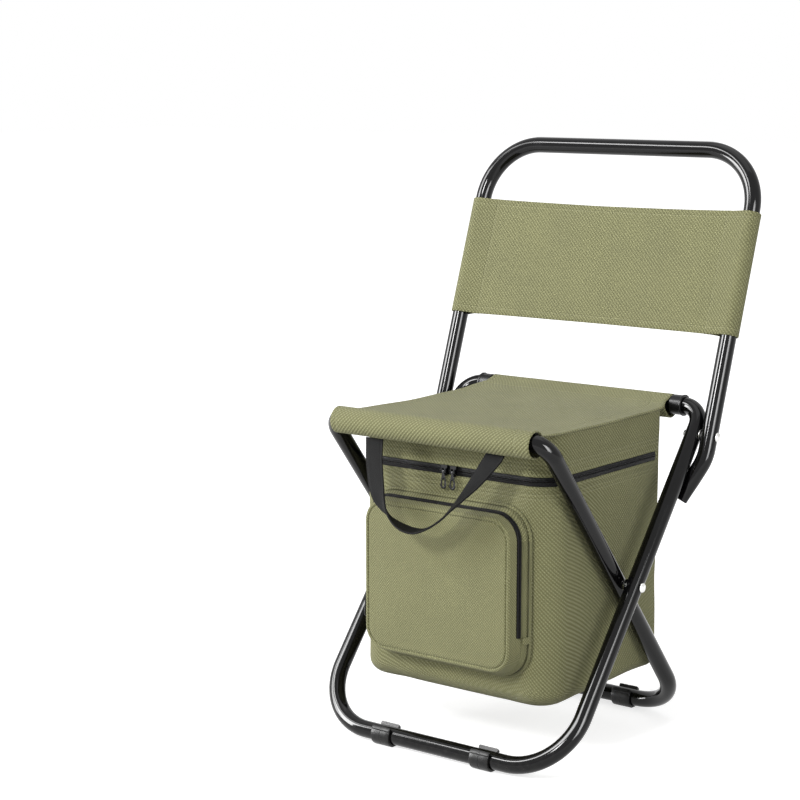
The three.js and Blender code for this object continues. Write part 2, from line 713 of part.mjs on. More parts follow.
// A tub with a rounded foot: outside from the middle of the base up, over the rim and down inside
function tub(outerInset, wall, base, rim) {
  const round = Math.max(BAG_BOTTOM_ROUND - outerInset, FOAM);
  const innerRound = Math.max(round - wall, LINER);
  const lower = [];
  for (let k = 0; k <= ROUND_STEPS; k++) {
    const t = ((Math.PI / 2) * k) / ROUND_STEPS;
    lower.push({
      inset: outerInset + round * (1 - Math.sin(t)),
      z: base + round * (1 - Math.cos(t)),
    });
  }
  const inside = [];
  for (let k = ROUND_STEPS; k >= 0; k--) {
    const t = ((Math.PI / 2) * k) / ROUND_STEPS;
    inside.push({
      inset: outerInset + wall + innerRound * (1 - Math.sin(t)),
      z: base + wall + innerRound * (1 - Math.cos(t)),
    });
  }
  return vessel(BAG, [
    ...lower,
    { inset: outerInset, z: rim },
    { inset: outerInset + wall, z: rim },
    ...inside,
  ]);
}

// The space round the front and both sides that the zip takes, with the rear left to the fabric
function zipBand(geometry, rearLimit) {
  const rear = box(
    -BAG_HALF_WIDTH - CUT_OVERRUN, BAG_HALF_WIDTH + CUT_OVERRUN,
    rearLimit, BAG_REAR + CUT_OVERRUN,
    ZIP_HEIGHT - 2 * CUT_OVERRUN, ZIP_HEIGHT + 2 * CUT_OVERRUN,
  );
  return cut(geometry, [rear]);
}
const ZIP_REAR = BAG_REAR - BAG_REAR_CORNER - ZIP_TAPE;
const slot = (low, high) => zipBand(
  wallRing(BAG, -CUT_OVERRUN, CLOTH + CUT_OVERRUN, low, high), ZIP_REAR + SEAT_GAP,
);
const tape = (low, high) => zipBand(wallRing(BAG, -ZIP_PROUD, CLOTH, low, high), ZIP_REAR);

const tubLayer = (inset, wall) => tub(inset, wall, BAG_GROUND_CLEARANCE + inset, TUB_TOP);
const FOAM_INSET = CLOTH + SEAT_GAP;
const LINER_INSET = FOAM_INSET + FOAM + SEAT_GAP;
const shell = cut(tubLayer(0, CLOTH), [slot(TAPE_LOW - SEAT_GAP, TUB_TOP + CUT_OVERRUN)]);
add(stool, "cooler_tub_shell", shell, matt(OLIVE));
add(stool, "cooler_tub_foam", tubLayer(FOAM_INSET, FOAM), matt(FOAM_WHITE));
add(stool, "cooler_tub_liner", tubLayer(LINER_INSET, LINER), matt(FOIL));
add(stool, "cooler_zip_lower", tape(TAPE_LOW, TUB_TOP), matt(WEBBING));
add(stool, "cooler_zip_upper", tape(LID_LOW, TAPE_HIGH), matt(WEBBING));

// The lid band reaches up to the underside of the sling and follows its sag
const LID_HIGH = Math.max(slingTop(FRONT_SLEEVE.y), slingTop(REAR_SLEEVE.y));
function underSling(geometry) {
  const above = slabAcross(
    (y) => slingTop(y) - CLOTH - SEAT_GAP,
    () => LID_HIGH + CUT_OVERRUN,
    FRONT_SLEEVE.y,
    REAR_SLEEVE.y,
    BAG_HALF_WIDTH + CUT_OVERRUN,
    SLING_STEPS,
  );
  return cut(geometry, [above]);
}
const lidWall = underSling(wallRing(BAG, 0, CLOTH, LID_LOW, LID_HIGH));
add(stool, "cooler_lid_band", cut(lidWall, [slot(LID_LOW - CUT_OVERRUN, TAPE_HIGH + SEAT_GAP)]), matt(OLIVE));

// The insulated lid: a foam plate close under the sling, with its liner below
const lidPlate = (inset, low, high) => {
  const shape = new THREE.Shape(roundedRect(BAG, inset));
  return new THREE.ExtrudeGeometry(shape, { depth: high - low, bevelEnabled: false }).translate(0, 0, low);
};
const LID_FOAM_TOP = slingLow - SEAT_GAP;
const LID_FOAM_LOW = LID_FOAM_TOP - LID_FOAM;
add(stool, "cooler_lid_foam", lidPlate(FOAM_INSET, LID_FOAM_LOW, LID_FOAM_TOP), matt(FOAM_WHITE));
add(
  stool,
  "cooler_lid_liner",
  lidPlate(FOAM_INSET, LID_FOAM_LOW - SEAT_GAP - LINER, LID_FOAM_LOW - SEAT_GAP),
  matt(FOIL),
);

// A zip slider seen from the front: a tapered body, and two cheeks that hold the pull between them.
// Its back is y = 0 and its front faces -Y. The pull's axis runs across at the height of its middle.
const PULL_AXIS = SLIDER_DEPTH + SEAT_GAP + PULL_THICKNESS / 2;
function zipSlider() {
  const w = SLIDER_WIDTH / 2;
  const h = SLIDER_HEIGHT / 2;
  const nose = w * SLIDER_NOSE_SHARE;
  const outline = [[-w, h], [-nose, -h], [nose, -h], [w, h]].map(([x, z]) => new THREE.Vector2(x, z));
  const extrude = { depth: SLIDER_DEPTH, bevelEnabled: false };
  const plate = new THREE.ExtrudeGeometry(new THREE.Shape(outline), extrude).rotateX(Math.PI / 2);
  const inner = PULL_NECK / 2 + SEAT_GAP;
  const cheeks = [-1, 1].map((side) => {
    const x0 = Math.min(side * inner, side * (inner + BAIL_CHEEK));
    const front = -PULL_AXIS - PULL_THICKNESS / 2;
    return box(x0, x0 + BAIL_CHEEK, front, -SLIDER_DEPTH / 2, -BAIL_HEIGHT / 2, BAIL_HEIGHT / 2);
  });
  return join([plate, ...cheeks]);
}

// A drop-shaped pull tab with a hole at its lower end. Its neck is round about the axis that it turns on.
function zipPull() {
  const half = PULL_WIDTH / 2;
  const neck = PULL_NECK / 2;
  const low = -PULL_LENGTH + half;
  const shoulder = -BAIL_HEIGHT / 2 - 2 * SEAT_GAP;
  const points = [[-neck, shoulder], [-neck, 0], [neck, 0], [neck, shoulder]];
  for (let k = 0; k <= PULL_SIDES; k++) {
    const turn = (-Math.PI * k) / PULL_SIDES;
    points.push([half * Math.cos(turn), low + half * Math.sin(turn)]);
  }
  const shape = new THREE.Shape(points.reverse().map(([x, z]) => new THREE.Vector2(x, z)));
  const hole = circlePoints(PULL_HOLE / 2, PULL_SIDES).map((p) => new THREE.Vector2(p.x, p.y + low));
  shape.holes.push(new THREE.Path(hole));
  const blade = new THREE.ExtrudeGeometry(shape, { depth: PULL_THICKNESS, bevelEnabled: false })
    .rotateX(Math.PI / 2)
    .translate(0, PULL_THICKNESS / 2, 0);
  return join([blade, barAlongX(PULL_THICKNESS / 2, PULL_NECK, PULL_SIDES)]);
}

// Both zips take the same slider and pull. The holder's own axes face them the way the zip faces.
function sliderWithPull(holder, sliderName, pullName) {
  add(holder, sliderName, zipSlider(), gloss(BLACK_PAINT));
  add(holder, pullName, zipPull(), gloss(BLACK_PAINT)).position.y = -PULL_AXIS;
}
for (const [word, side] of SIDES) {
  const holder = new THREE.Group();
  holder.position.set(side * SLIDER_HALF_SPACING, BAG_FRONT - ZIP_PROUD - SEAT_GAP, ZIP_HEIGHT);
  stool.add(holder);
  sliderWithPull(holder, `zip_slider_${word}`, `zip_pull_${word}`);
}

// Front pocket, in a group whose x is across, y up and z out of the bag's front, from the pocket's middle.
// Its walls lean in from a wider base: at a height h above the bag the outline is drawn in by leanIn(h).
const POCKET_HALF_WIDTH = BAG_HALF_WIDTH - POCKET_SIDE_MARGIN;
const POCKET_BOTTOM = BAG_GROUND_CLEARANCE + POCKET_FOOT_MARGIN;
const POCKET_TOP = ZIP_HEIGHT - POCKET_TOP_MARGIN;
const POCKET_MIDDLE = (POCKET_TOP + POCKET_BOTTOM) / 2;
const pocket = new THREE.Group();
pocket.position.set(0, BAG_FRONT, POCKET_MIDDLE);
pocket.rotation.x = Math.PI / 2;
stool.add(pocket);
const POCKET = {
  middle: 0,
  halfWidth: POCKET_HALF_WIDTH,
  halfDepth: (POCKET_TOP - POCKET_BOTTOM) / 2,
  lowCorner: POCKET_CORNER,
  highCorner: POCKET_CORNER,
  steps: POCKET_CORNER_STEPS,
};
const leanIn = (h) => -POCKET_FLARE * (1 - h / POCKET_PROUD);
const ZIP_END_UP = POCKET_BOTTOM + POCKET_ZIP_END_RISE - POCKET_MIDDLE;

// A leaning wall between two heights, from an outer inset to an inner one: a closed ring
function pocketWall(low, high, proud, wall) {
  const rings = [[low, -proud], [high, -proud], [high, wall], [low, wall]]
    .map(([h, inset]) => roundedRect(POCKET, leanIn(h) + inset).map((p) => new THREE.Vector3(p.x, p.y, h)));
  return loftLoop(rings);
}

// The part of a pocket wall above the ends of the zip
function above(geometry, up) {
  const w = POCKET_HALF_WIDTH + POCKET_FLARE + CUT_OVERRUN;
  return cut(geometry, [box(-w, w, -POCKET_TOP, up, -CUT_OVERRUN, POCKET_PROUD + CUT_OVERRUN)]);
}

const GUSSET_TOP = SEAT_GAP + POCKET_GUSSET;
const ZIP_REAR_TOP = GUSSET_TOP + SEAT_GAP + POCKET_ZIP;
const ZIP_FRONT_TOP = ZIP_REAR_TOP + SEAT_GAP + POCKET_ZIP;
const PANEL_BASE = ZIP_FRONT_TOP + SEAT_GAP;
add(pocket, "pocket_gusset", pocketWall(SEAT_GAP, GUSSET_TOP, 0, CLOTH), matt(OLIVE));
add(
  pocket,
  "pocket_zip_rear",
  above(pocketWall(GUSSET_TOP + SEAT_GAP, ZIP_REAR_TOP, ZIP_PROUD, CLOTH), ZIP_END_UP),
  matt(WEBBING),
);
add(
  pocket,
  "pocket_zip_front",
  above(pocketWall(ZIP_REAR_TOP + SEAT_GAP, ZIP_FRONT_TOP, ZIP_PROUD, CLOTH), ZIP_END_UP),
  matt(WEBBING),
);

// The pocket's front: a shallow tray with a rounded edge, and a deeper wall below the ends of the zip
function panelBody() {
  const rim = POCKET_PROUD - POCKET_FACE_ROUND;
  const full = vessel(POCKET, [
    { inset: leanIn(GUSSET_TOP + SEAT_GAP), z: GUSSET_TOP + SEAT_GAP },
    ...Array.from({ length: ROUND_STEPS + 1 }, (_, k) => {
      const t = ((Math.PI / 2) * k) / ROUND_STEPS;
      return {
        inset: leanIn(rim) + POCKET_FACE_ROUND * (1 - Math.cos(t)),
        z: rim + POCKET_FACE_ROUND * Math.sin(t),
      };
    }),
  ]);
  const hollow = vessel(POCKET, [
    { inset: leanIn(0) + CLOTH, z: 0 },
    { inset: leanIn(rim) + CLOTH, z: rim },
    { inset: leanIn(rim) + POCKET_FACE_ROUND, z: POCKET_PROUD - POCKET_FACE },
  ]);
  const w = POCKET_HALF_WIDTH + POCKET_FLARE + CUT_OVERRUN;
  const zipRoom = box(-w, w, ZIP_END_UP - SEAT_GAP, POCKET_TOP, 0, PANEL_BASE);
  return cut(full, [hollow, zipRoom]);
}
add(pocket, "pocket_panel", panelBody(), matt(OLIVE));
add(
  pocket,
  "pocket_piping",
  pocketWall(SEAT_GAP, SEAT_GAP + PIPING, PIPING_PROUD, -SEAT_GAP),
  matt(OLIVE),
);

// The pocket's slider stands at the lower end of its zip on the left, and faces that side
const pocketSlider = new THREE.Group();
const sideOut = new THREE.Vector3(-POCKET_PROUD, 0, POCKET_FLARE).normalize();
const sideFoot = new THREE.Vector3(
  leanIn(ZIP_REAR_TOP) - POCKET_HALF_WIDTH, ZIP_END_UP + SLIDER_HEIGHT, ZIP_REAR_TOP + SEAT_GAP / 2,
);
pocketSlider.position.copy(sideFoot).addScaledVector(sideOut, ZIP_PROUD + SEAT_GAP);
const sideUp = new THREE.Vector3(0, 1, 0);
const sideInto = sideOut.clone().negate();
pocketSlider.quaternion.setFromRotationMatrix(
  new THREE.Matrix4().makeBasis(sideInto.clone().cross(sideUp), sideInto, sideUp),
);
pocket.add(pocketSlider);
sliderWithPull(pocketSlider, "pocket_slider", "pocket_pull");

// Carrying strap: a flat band of webbing that hangs from the underside of the front sleeve
function strap() {
  const top = FRONT_SLEEVE.z - FRONT_SLEEVE_DIAMETER / 2 - SEAT_GAP;
  const halfSpacing = SLING_FRONT_HALF_WIDTH - STRAP_MARGIN;
  const placed = STRAP_ROUTE_SHARES.map(([across, forward, drop]) => new THREE.Vector3(
    across * halfSpacing, FRONT_SLEEVE.y - forward * STRAP_FORWARD, top - drop * STRAP_DROP,
  ));
  const route = new THREE.CatmullRomCurve3(placed);
  const turned = STRAP_ROUTE_SHARES.map(([, , , turn]) => new THREE.Vector3(turn, 0, 0));
  const turns = new THREE.CatmullRomCurve3(turned);
  const rings = [];
  for (let k = 0; k <= STRAP_STATIONS; k++) {
    const t = k / STRAP_STATIONS;
    const at = route.getPoint(t);
    const along = k === 0 || k === STRAP_STATIONS
      ? new THREE.Vector3(0, 0, k === 0 ? -1 : 1)
      : route.getTangent(t);
    const turn = Math.PI * turns.getPoint(t).x;
    const width = new THREE.Vector3(Math.cos(turn), Math.sin(turn), 0);
    width.addScaledVector(along, -width.dot(along)).normalize().multiplyScalar(STRAP_WIDTH / 2);
    const face = along.clone().cross(width).normalize().multiplyScalar(STRAP_THICKNESS / 2);
    rings.push([[1, 1], [1, -1], [-1, -1], [-1, 1]].map(([a, b]) => at.clone()
      .addScaledVector(width, a)
      .addScaledVector(face, b)));
  }
  return loft(rings);
}
add(stool, "carry_handle", strap(), matt(WEBBING));

const footprint = new THREE.Box3().setFromObject(stool, true);
stool.position.y = -(footprint.min.y + footprint.max.y) / 2;

export default stool;
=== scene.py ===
# %% [markdown]
# ## A folding stool with a soft cooler under its seat
# Two loops of bent tube cross at a pair of rivets and carry a fabric seat. A third loop, the backrest,
# turns on rivets near the rear seat bar. A soft insulated bag hangs under the seat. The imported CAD
# model gives every joint and size in metres, so the script loads it first and dresses it piece by
# piece.

import bmesh
import bpy
import numpy as np
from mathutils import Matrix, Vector


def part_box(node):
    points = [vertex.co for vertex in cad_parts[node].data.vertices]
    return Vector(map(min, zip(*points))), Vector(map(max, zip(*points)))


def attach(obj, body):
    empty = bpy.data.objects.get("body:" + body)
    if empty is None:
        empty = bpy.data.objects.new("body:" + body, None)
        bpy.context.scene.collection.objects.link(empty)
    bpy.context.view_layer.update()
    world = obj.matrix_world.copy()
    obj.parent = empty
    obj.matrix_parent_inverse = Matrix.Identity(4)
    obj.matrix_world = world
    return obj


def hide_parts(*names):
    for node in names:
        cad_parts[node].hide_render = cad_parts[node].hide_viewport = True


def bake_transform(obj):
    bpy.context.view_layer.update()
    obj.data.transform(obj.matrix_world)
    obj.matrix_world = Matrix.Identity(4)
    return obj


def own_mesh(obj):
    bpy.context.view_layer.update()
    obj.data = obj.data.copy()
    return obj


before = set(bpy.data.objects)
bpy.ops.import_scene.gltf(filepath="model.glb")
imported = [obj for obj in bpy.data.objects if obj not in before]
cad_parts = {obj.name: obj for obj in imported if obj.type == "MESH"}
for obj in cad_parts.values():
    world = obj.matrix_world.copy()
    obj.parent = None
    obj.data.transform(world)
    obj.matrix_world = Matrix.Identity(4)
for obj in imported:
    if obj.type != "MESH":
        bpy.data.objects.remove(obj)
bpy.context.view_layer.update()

# %% [markdown]
# ## Camera
# A photograph of goods is taken from some way off with a long lens, so that parallel tubes stay nearly
# parallel. A 94 mm lens two metres away gives that. The camera looks down on the seat by nine degrees,
# from the front right.

# %% Camera
camera = bpy.data.objects.new("camera", bpy.data.cameras.new("camera"))
camera.location = (1.17338, -1.71300, 0.67037)
camera.rotation_euler = np.radians((80.78, 0, 37.86))
camera.data.lens = 93.79
camera.data.sensor_width = 36
bpy.context.scene.collection.objects.link(camera)
bpy.context.scene.camera = camera
print("lens in mm:", camera.data.lens)

# %% [markdown]
# ## Soft studio light
# A small lamp in front gives the strap its thin shadow on the bag. A tall one on the left shapes the
# sleeves and leaves the right side darker, and weak ones lift that side and the seat. Glossy black tube
# shows large softboxes as bright lines along it. Panels of that size would flood the cloth, so the
# panels that draw the lines are seen by reflections only. The world is dim for diffuse light and pale
# for the camera and for reflections.

# %% Lamps
STOOL_MIDDLE = Vector((0, 0, 0.3))

def lamp(name, at, size, power, tall=None, lights_cloth=True):
    """A lamp of the given width and height that faces the middle of the stool: its -Z axis is the line
    to there."""
    light = bpy.data.objects.new(name, bpy.data.lights.new(name, "AREA"))
    light.data.shape = "RECTANGLE"
    light.data.size = size
    light.data.size_y = tall or size
    light.data.energy = power
    light.location = at
    light.visible_diffuse = lights_cloth
    toward = STOOL_MIDDLE - light.location
    light.rotation_euler = toward.to_track_quat("-Z", "Y").to_euler()
    bpy.context.scene.collection.objects.link(light)
    return light

LAMPS = [
    lamp("lamp_front", (-0.15, -2.5, 1.75), 0.4, 38),
    lamp("lamp_left", (-2.3, -1.92, 1.08), 0.6, 54, tall=1.6),
    lamp("lamp_right", (2.6, -0.9, 1.2), 1.2, 26),
    lamp("lamp_top", (0.1, 0.2, 2.6), 1.8, 9),
    lamp("strip_high_left", (-1.8, -1.5, 2.2), 1.3, 17, tall=0.35),
    lamp("gloss_left", (-2.5, -1.7, 1.1), 1.3, 150, tall=2.0, lights_cloth=False),
    lamp("gloss_right", (2.5, -1.2, 1.1), 0.9, 90, tall=2.0, lights_cloth=False),
    lamp("gloss_high", (-1.2, -2.0, 2.5), 1.6, 60, tall=0.5, lights_cloth=False),
]
print("lamps:", [light.name for light in LAMPS])

# %% [markdown]
# ## Shader nodes by hand
# Materials are built from nodes in code. Two short helpers keep that readable: one makes any node and
# fills or links its inputs, the other makes a sum. A link is given by passing another node's output in
# place of a number.

# %% Node helpers
def node(tree, kind, inputs=(), **settings):
    """A shader node: numbers fill its inputs and sockets are linked to them, by position or by name."""
    made = tree.nodes.new("ShaderNode" + kind)
    for key, value in settings.items():
        setattr(made, key, value)
    for key, value in (inputs.items() if isinstance(inputs, dict) else enumerate(inputs)):
        if isinstance(value, bpy.types.NodeSocket):
            tree.links.new(value, made.inputs[key])
        elif value is not None:
            made.inputs[key].default_value = value
    return made

def calc(tree, operation, *values):
    """One step of arithmetic on numbers or sockets."""
    return node(tree, "Math", values, operation=operation).outputs[0]

def span(tree, value, low, high, to_low=0.0, to_high=1.0):
    """Carries a value from one range to another and clamps it there."""
    made = node(tree, "MapRange", {0: value, 1: low, 2: high, 3: to_low, 4: to_high})
    return made.outputs[0]

def blend_colour(tree, share, first, second):
    """A colour between two others by a share from 0 to 1."""
    made = node(tree, "Mix", {0: share, 6: first, 7: second}, data_type="RGBA")
    return made.outputs[2]

def group(name, inputs, outputs):
    """An empty shader group with named number or vector inputs and outputs."""
    tree = bpy.data.node_groups.new(name, "ShaderNodeTree")
    for label, kind, value in inputs:
        made = tree.interface.new_socket(name=label, in_out="INPUT", socket_type="NodeSocket" + kind)
        if kind == "Float":
            made.default_value = value
    for label, kind in outputs:
        tree.interface.new_socket(name=label, in_out="OUTPUT", socket_type="NodeSocket" + kind)
    return tree, tree.nodes.new("NodeGroupInput"), tree.nodes.new("NodeGroupOutput")

def use(tree, shared, **inputs):
    """A shared group placed in a material with its own values; underscores stand for spaces in names."""
    made = tree.nodes.new("ShaderNodeGroup")
    made.node_tree = shared
    for key, value in inputs.items():
        socket = made.inputs[key.replace("_", " ")]
        if isinstance(value, bpy.types.NodeSocket):
            tree.links.new(value, socket)
        else:
            socket.default_value = value
    return made

# %% [markdown]
# ## A twill weave as a shared group
# Heavy polyester cloth shows slanting rows of short floats, where each thread passes over two others.
# Real threads would be millions of faces. A group works them out from cloth coordinates in metres
# instead: two slanting waves multiplied give rows of raised dots, and a slow noise makes the rows
# uneven, as spun yarn is.

# %% Twill group
SLUB_SCALE, SLUB_SHIFT = 420.0, 0.12
FADE_SCALE = 16.0

def twill_group():
    """Height = (0.5 + 0.5 sin(x + y))·(1 − depth + depth·(0.5 + 0.5 sin(x − y))), in turns of a
    pitch."""
    tree, given, result = group(
        "twill",
        [("Cloth", "Vector", None), ("Pitch", "Float", 0.002), ("Float depth", "Float", 0.6)],
        [("Height", "Float"), ("Fade", "Float")],
    )
    axes = node(tree, "SeparateXYZ", (given.outputs["Cloth"],))
    turn = calc(tree, "DIVIDE", 2 * np.pi, given.outputs["Pitch"])
    slub = node(tree, "TexNoise", {"Vector": given.outputs["Cloth"], "Scale": SLUB_SCALE, "Detail": 2.0})
    shift = span(tree, slub.outputs["Fac"], 0.3, 0.7, -SLUB_SHIFT, SLUB_SHIFT)
    across = calc(tree, "MULTIPLY", axes.outputs["X"], turn)
    along = calc(tree, "MULTIPLY", axes.outputs["Y"], turn)
    rows = calc(tree, "SINE", calc(tree, "ADD", calc(tree, "ADD", across, along), shift))
    floats = calc(tree, "SINE", calc(tree, "ADD", calc(tree, "SUBTRACT", across, along), shift))
    rows = calc(tree, "MULTIPLY_ADD", rows, 0.5, 0.5)
    floats = calc(tree, "MULTIPLY_ADD", floats, 0.5, 0.5)
    deep = given.outputs["Float depth"]
    kept = calc(tree, "ADD", calc(tree, "SUBTRACT", 1.0, deep), calc(tree, "MULTIPLY", deep, floats))
    tree.links.new(calc(tree, "MULTIPLY", rows, kept), result.inputs["Height"])
    broad = node(tree, "TexNoise", {"Vector": given.outputs["Cloth"], "Scale": FADE_SCALE, "Detail": 5.0})
    tree.links.new(span(tree, broad.outputs["Fac"], 0.3, 0.7), result.inputs["Fade"])
    return tree

TWILL = twill_group()
print("group inputs:", [item.name for item in TWILL.interface.items_tree if item.in_out == "INPUT"])

# %% [markdown]
# ## Stitching as a shared group
# A lockstitch is a row of short threads that pull the cloth into a groove. The group takes the distance
# from the seam and the distance along it, both in metres, and gives a mask of the threads and the depth
# of the groove.

# %% Stitch group
def stitch_group():
    """Thread = near the line and inside the sewn share of each stitch; depth = 1 at the line, 0 past the
    groove."""
    tree, given, result = group(
        "stitch_run",
        [
            ("Across", "Float", 0.0), ("Along", "Float", 0.0), ("Width", "Float", 0.0008),
            ("Length", "Float", 0.0032), ("Groove", "Float", 0.002),
        ],
        [("Thread", "Float"), ("Depth", "Float")],
    )
    away = calc(tree, "ABSOLUTE", given.outputs["Across"])
    near = span(tree, away, 0.0, given.outputs["Width"], 1.0, 0.0)
    step = calc(tree, "FRACT", calc(tree, "DIVIDE", given.outputs["Along"], given.outputs["Length"]))
    middle = calc(tree, "ABSOLUTE", calc(tree, "SUBTRACT", step, 0.5))
    sewn = span(tree, middle, 0.34, 0.44, 1.0, 0.0)
    tree.links.new(calc(tree, "MULTIPLY", near, sewn), result.inputs["Thread"])
    groove = node(tree, "MapRange", {0: away, 1: 0.0, 2: given.outputs["Groove"], 3: 1.0, 4: 0.0},
                  interpolation_type="SMOOTHSTEP")
    tree.links.new(groove.outputs[0], result.inputs["Depth"])
    return tree

STITCHES = stitch_group()
print("group outputs:", [item.name for item in STITCHES.interface.items_tree if item.in_out == "OUTPUT"])

# %% [markdown]
# ## Grain and dust as a shared group
# Paint, plastic and metal are never quite even: paint has a slight orange peel, handling leaves faint
# smears, and dust settles low down. One group gives a fine height, a smear mask and a dust mask that
# fades with height.

# %% Grain group
def grain_group():
    """Peel = fine noise; smear = coarse warped noise; dust = specks that fade out with height."""
    tree, given, result = group(
        "grain",
        [("Place", "Vector", None), ("Scale", "Float", 300.0), ("Dust height", "Float", 0.06)],
        [("Peel", "Float"), ("Smear", "Float"), ("Dust", "Float")],
    )
    place = given.outputs["Place"]
    peel = node(tree, "TexNoise", {"Vector": place, "Scale": given.outputs["Scale"], "Detail": 3.0})
    tree.links.new(peel.outputs["Fac"], result.inputs["Peel"])
    broad = node(tree, "TexNoise", {"Vector": place, "Scale": 24.0, "Detail": 6.0, "Distortion": 0.6})
    tree.links.new(span(tree, broad.outputs["Fac"], 0.42, 0.68), result.inputs["Smear"])
    height = node(tree, "SeparateXYZ", (place,)).outputs["Z"]
    low = node(tree, "MapRange", {0: height, 1: 0.0, 2: given.outputs["Dust height"], 3: 1.0, 4: 0.0})
    speck = node(tree, "TexNoise", {"Vector": place, "Scale": 180.0, "Detail": 4.0})
    dust = calc(tree, "MULTIPLY", low.outputs[0], span(tree, speck.outputs["Fac"], 0.45, 0.7))
    tree.links.new(dust, result.inputs["Dust"])
    return tree

GRAIN = grain_group()
print("shared groups:", [tree.name for tree in bpy.data.node_groups])

# %% [markdown]
# ## Hard finishes
# The tubes wear a stoved gloss black paint, thick enough to give sharp white highlights. The clips and
# collars are moulded plastic, duller and slightly grained. Rivets and washers are bright zinc. Each
# finish is one Principled shader whose colour, roughness and bump come from the grain group.

# %% Hard finishes
def surface(name, roughness, **settings):
    """A material with one Principled shader, and its tree. Settings go to the shader's own sockets."""
    material = bpy.data.materials.new(name)
    material.use_nodes = True
    tree = material.node_tree
    shader = tree.nodes["Principled BSDF"]
    shader.inputs["Roughness"].default_value = roughness
    for key, value in settings.items():
        shader.inputs[key.replace("_", " ")].default_value = value
    return material, tree, shader

def raised(tree, shader, height, distance):
    """Turns a height into a bump of the given depth in metres on the shader."""
    bump = node(tree, "Bump", {"Strength": 1.0, "Distance": distance, "Height": height})
    tree.links.new(bump.outputs["Normal"], shader.inputs["Normal"])

DUST, DUST_SHOW = (0.19, 0.18, 0.16, 1), 0.05

def hard_finish(name, colour, worn, rough, scale, peel, **settings):
    """Colour = the finish, lighter by smears and dust; roughness rises from its first value to its
    second."""
    material, tree, shader = surface(name, rough[0], **settings)
    place = node(tree, "TexCoord").outputs["Object"]
    grain = use(tree, GRAIN, Place=place, Scale=scale)
    tinted = blend_colour(tree, grain.outputs["Smear"], (*colour, 1), (*worn, 1))
    dusty = blend_colour(tree, calc(tree, "MULTIPLY", grain.outputs["Dust"], DUST_SHOW), tinted, DUST)
    tree.links.new(dusty, shader.inputs["Base Color"])
    tree.links.new(span(tree, grain.outputs["Smear"], 0, 1, *rough), shader.inputs["Roughness"])
    raised(tree, shader, grain.outputs["Peel"], peel)
    return material

PAINT = hard_finish("black_gloss_paint", (0.002, 0.002, 0.0022), (0.003, 0.003, 0.0034), (0.06, 0.1),
                    120, 0.000002, Specular_IOR_Level=0.25)
PLASTIC = hard_finish("black_moulded_plastic", (0.005, 0.005, 0.005), (0.011, 0.011, 0.012), (0.3, 0.46),
                      900, 0.00008, Specular_IOR_Level=0.25)
ZINC = hard_finish("bright_zinc", (0.78, 0.78, 0.76), (0.6, 0.6, 0.58), (0.16, 0.34),
                   700, 0.00003, Metallic=1.0)
ZIP_METAL = hard_finish("black_zip_metal", (0.004, 0.004, 0.0045), (0.009, 0.009, 0.01), (0.16, 0.3),
                        500, 0.00003, Specular_IOR_Level=0.3)
print("hard finishes:", [m.name for m in (PAINT, PLASTIC, ZINC, ZIP_METAL)])

# %% [markdown]
# ## Cloth finishes
# The seat, the band and the bag share one olive cloth, but each has its seams in other places. A
# function makes the cloth for a piece from a list of seam lines. A line is an axis and a place on it: u
# and v are metres along the piece's own cloth map, and z is height in the room. Webbing is the same
# weave, black and finer.

# %% Cloth finishes
# The second olive is painted shade for the weave's valleys; the first is the cloth on its floats.
OLIVE = (0.300, 0.298, 0.155)
OLIVE_VALLEY_SHADE = (0.118, 0.117, 0.048)
OLIVE_THREAD = (0.36, 0.355, 0.2)
THREAD_RISE, THREAD_SHOW = 0.6, 0.4
FADE_SHARE = 0.16

def cloth_finish(name, light, deep, thread, pitch, seams=(), depth=0.0008, rough=0.86, sheen=0.08,
                 shine=0.22):
    """Height = twill − grooves + threads; colour is painted shade, dark in the valleys, light on the
    floats, with a random fade.
    """
    material, tree, shader = surface(name, rough, Specular_IOR_Level=shine, Sheen_Weight=sheen,
                                     Sheen_Roughness=0.45)
    cloth = node(tree, "UVMap", uv_map="cloth").outputs["UV"]
    room = node(tree, "TexCoord").outputs["Object"]
    u_v = node(tree, "SeparateXYZ", (cloth,))
    x_y_z = node(tree, "SeparateXYZ", (room,))
    axes = {"u": u_v.outputs["X"], "v": u_v.outputs["Y"], "z": x_y_z.outputs["Z"]}
    round_about = calc(tree, "ADD", x_y_z.outputs["X"], x_y_z.outputs["Y"])
    run_of = {"u": axes["v"], "v": axes["u"], "z": round_about}
    weave = use(tree, TWILL, Cloth=cloth, Pitch=pitch)
    height = weave.outputs["Height"]
    threads = None
    for axis, place in seams:
        across = calc(tree, "SUBTRACT", axes[axis], place)
        run = use(tree, STITCHES, Across=across, Along=run_of[axis])
        height = calc(tree, "SUBTRACT", height, run.outputs["Depth"])
        sewn = run.outputs["Thread"]
        height = calc(tree, "MULTIPLY_ADD", sewn, THREAD_RISE, height)
        threads = sewn if threads is None else calc(tree, "MAXIMUM", threads, sewn)
    fade = weave.outputs["Fade"]
    # Painted shade: the colour darkens into the weave's valleys and lightens on its floats; the fade
    # mixes in a random tone.
    shade = calc(tree, "MULTIPLY", weave.outputs["Height"], 1 - FADE_SHARE)
    shade = calc(tree, "MULTIPLY_ADD", fade, FADE_SHARE, shade)
    colour = blend_colour(tree, shade, (*deep, 1), (*light, 1))
    if threads is not None:
        colour = blend_colour(tree, calc(tree, "MULTIPLY", threads, THREAD_SHOW), colour, (*thread, 1))
    tree.links.new(colour, shader.inputs["Base Color"])
    tree.links.new(span(tree, fade, 0, 1, rough - 0.08, rough + 0.06), shader.inputs["Roughness"])
    raised(tree, shader, height, depth)
    return material

def olive_cloth(name, seams=(), pitch=0.0040, depth=0.0006):
    """The stool's own cloth, with a piece's seams and the pitch of its weave."""
    return cloth_finish(name, OLIVE, OLIVE_VALLEY_SHADE, OLIVE_THREAD, pitch, seams, depth)
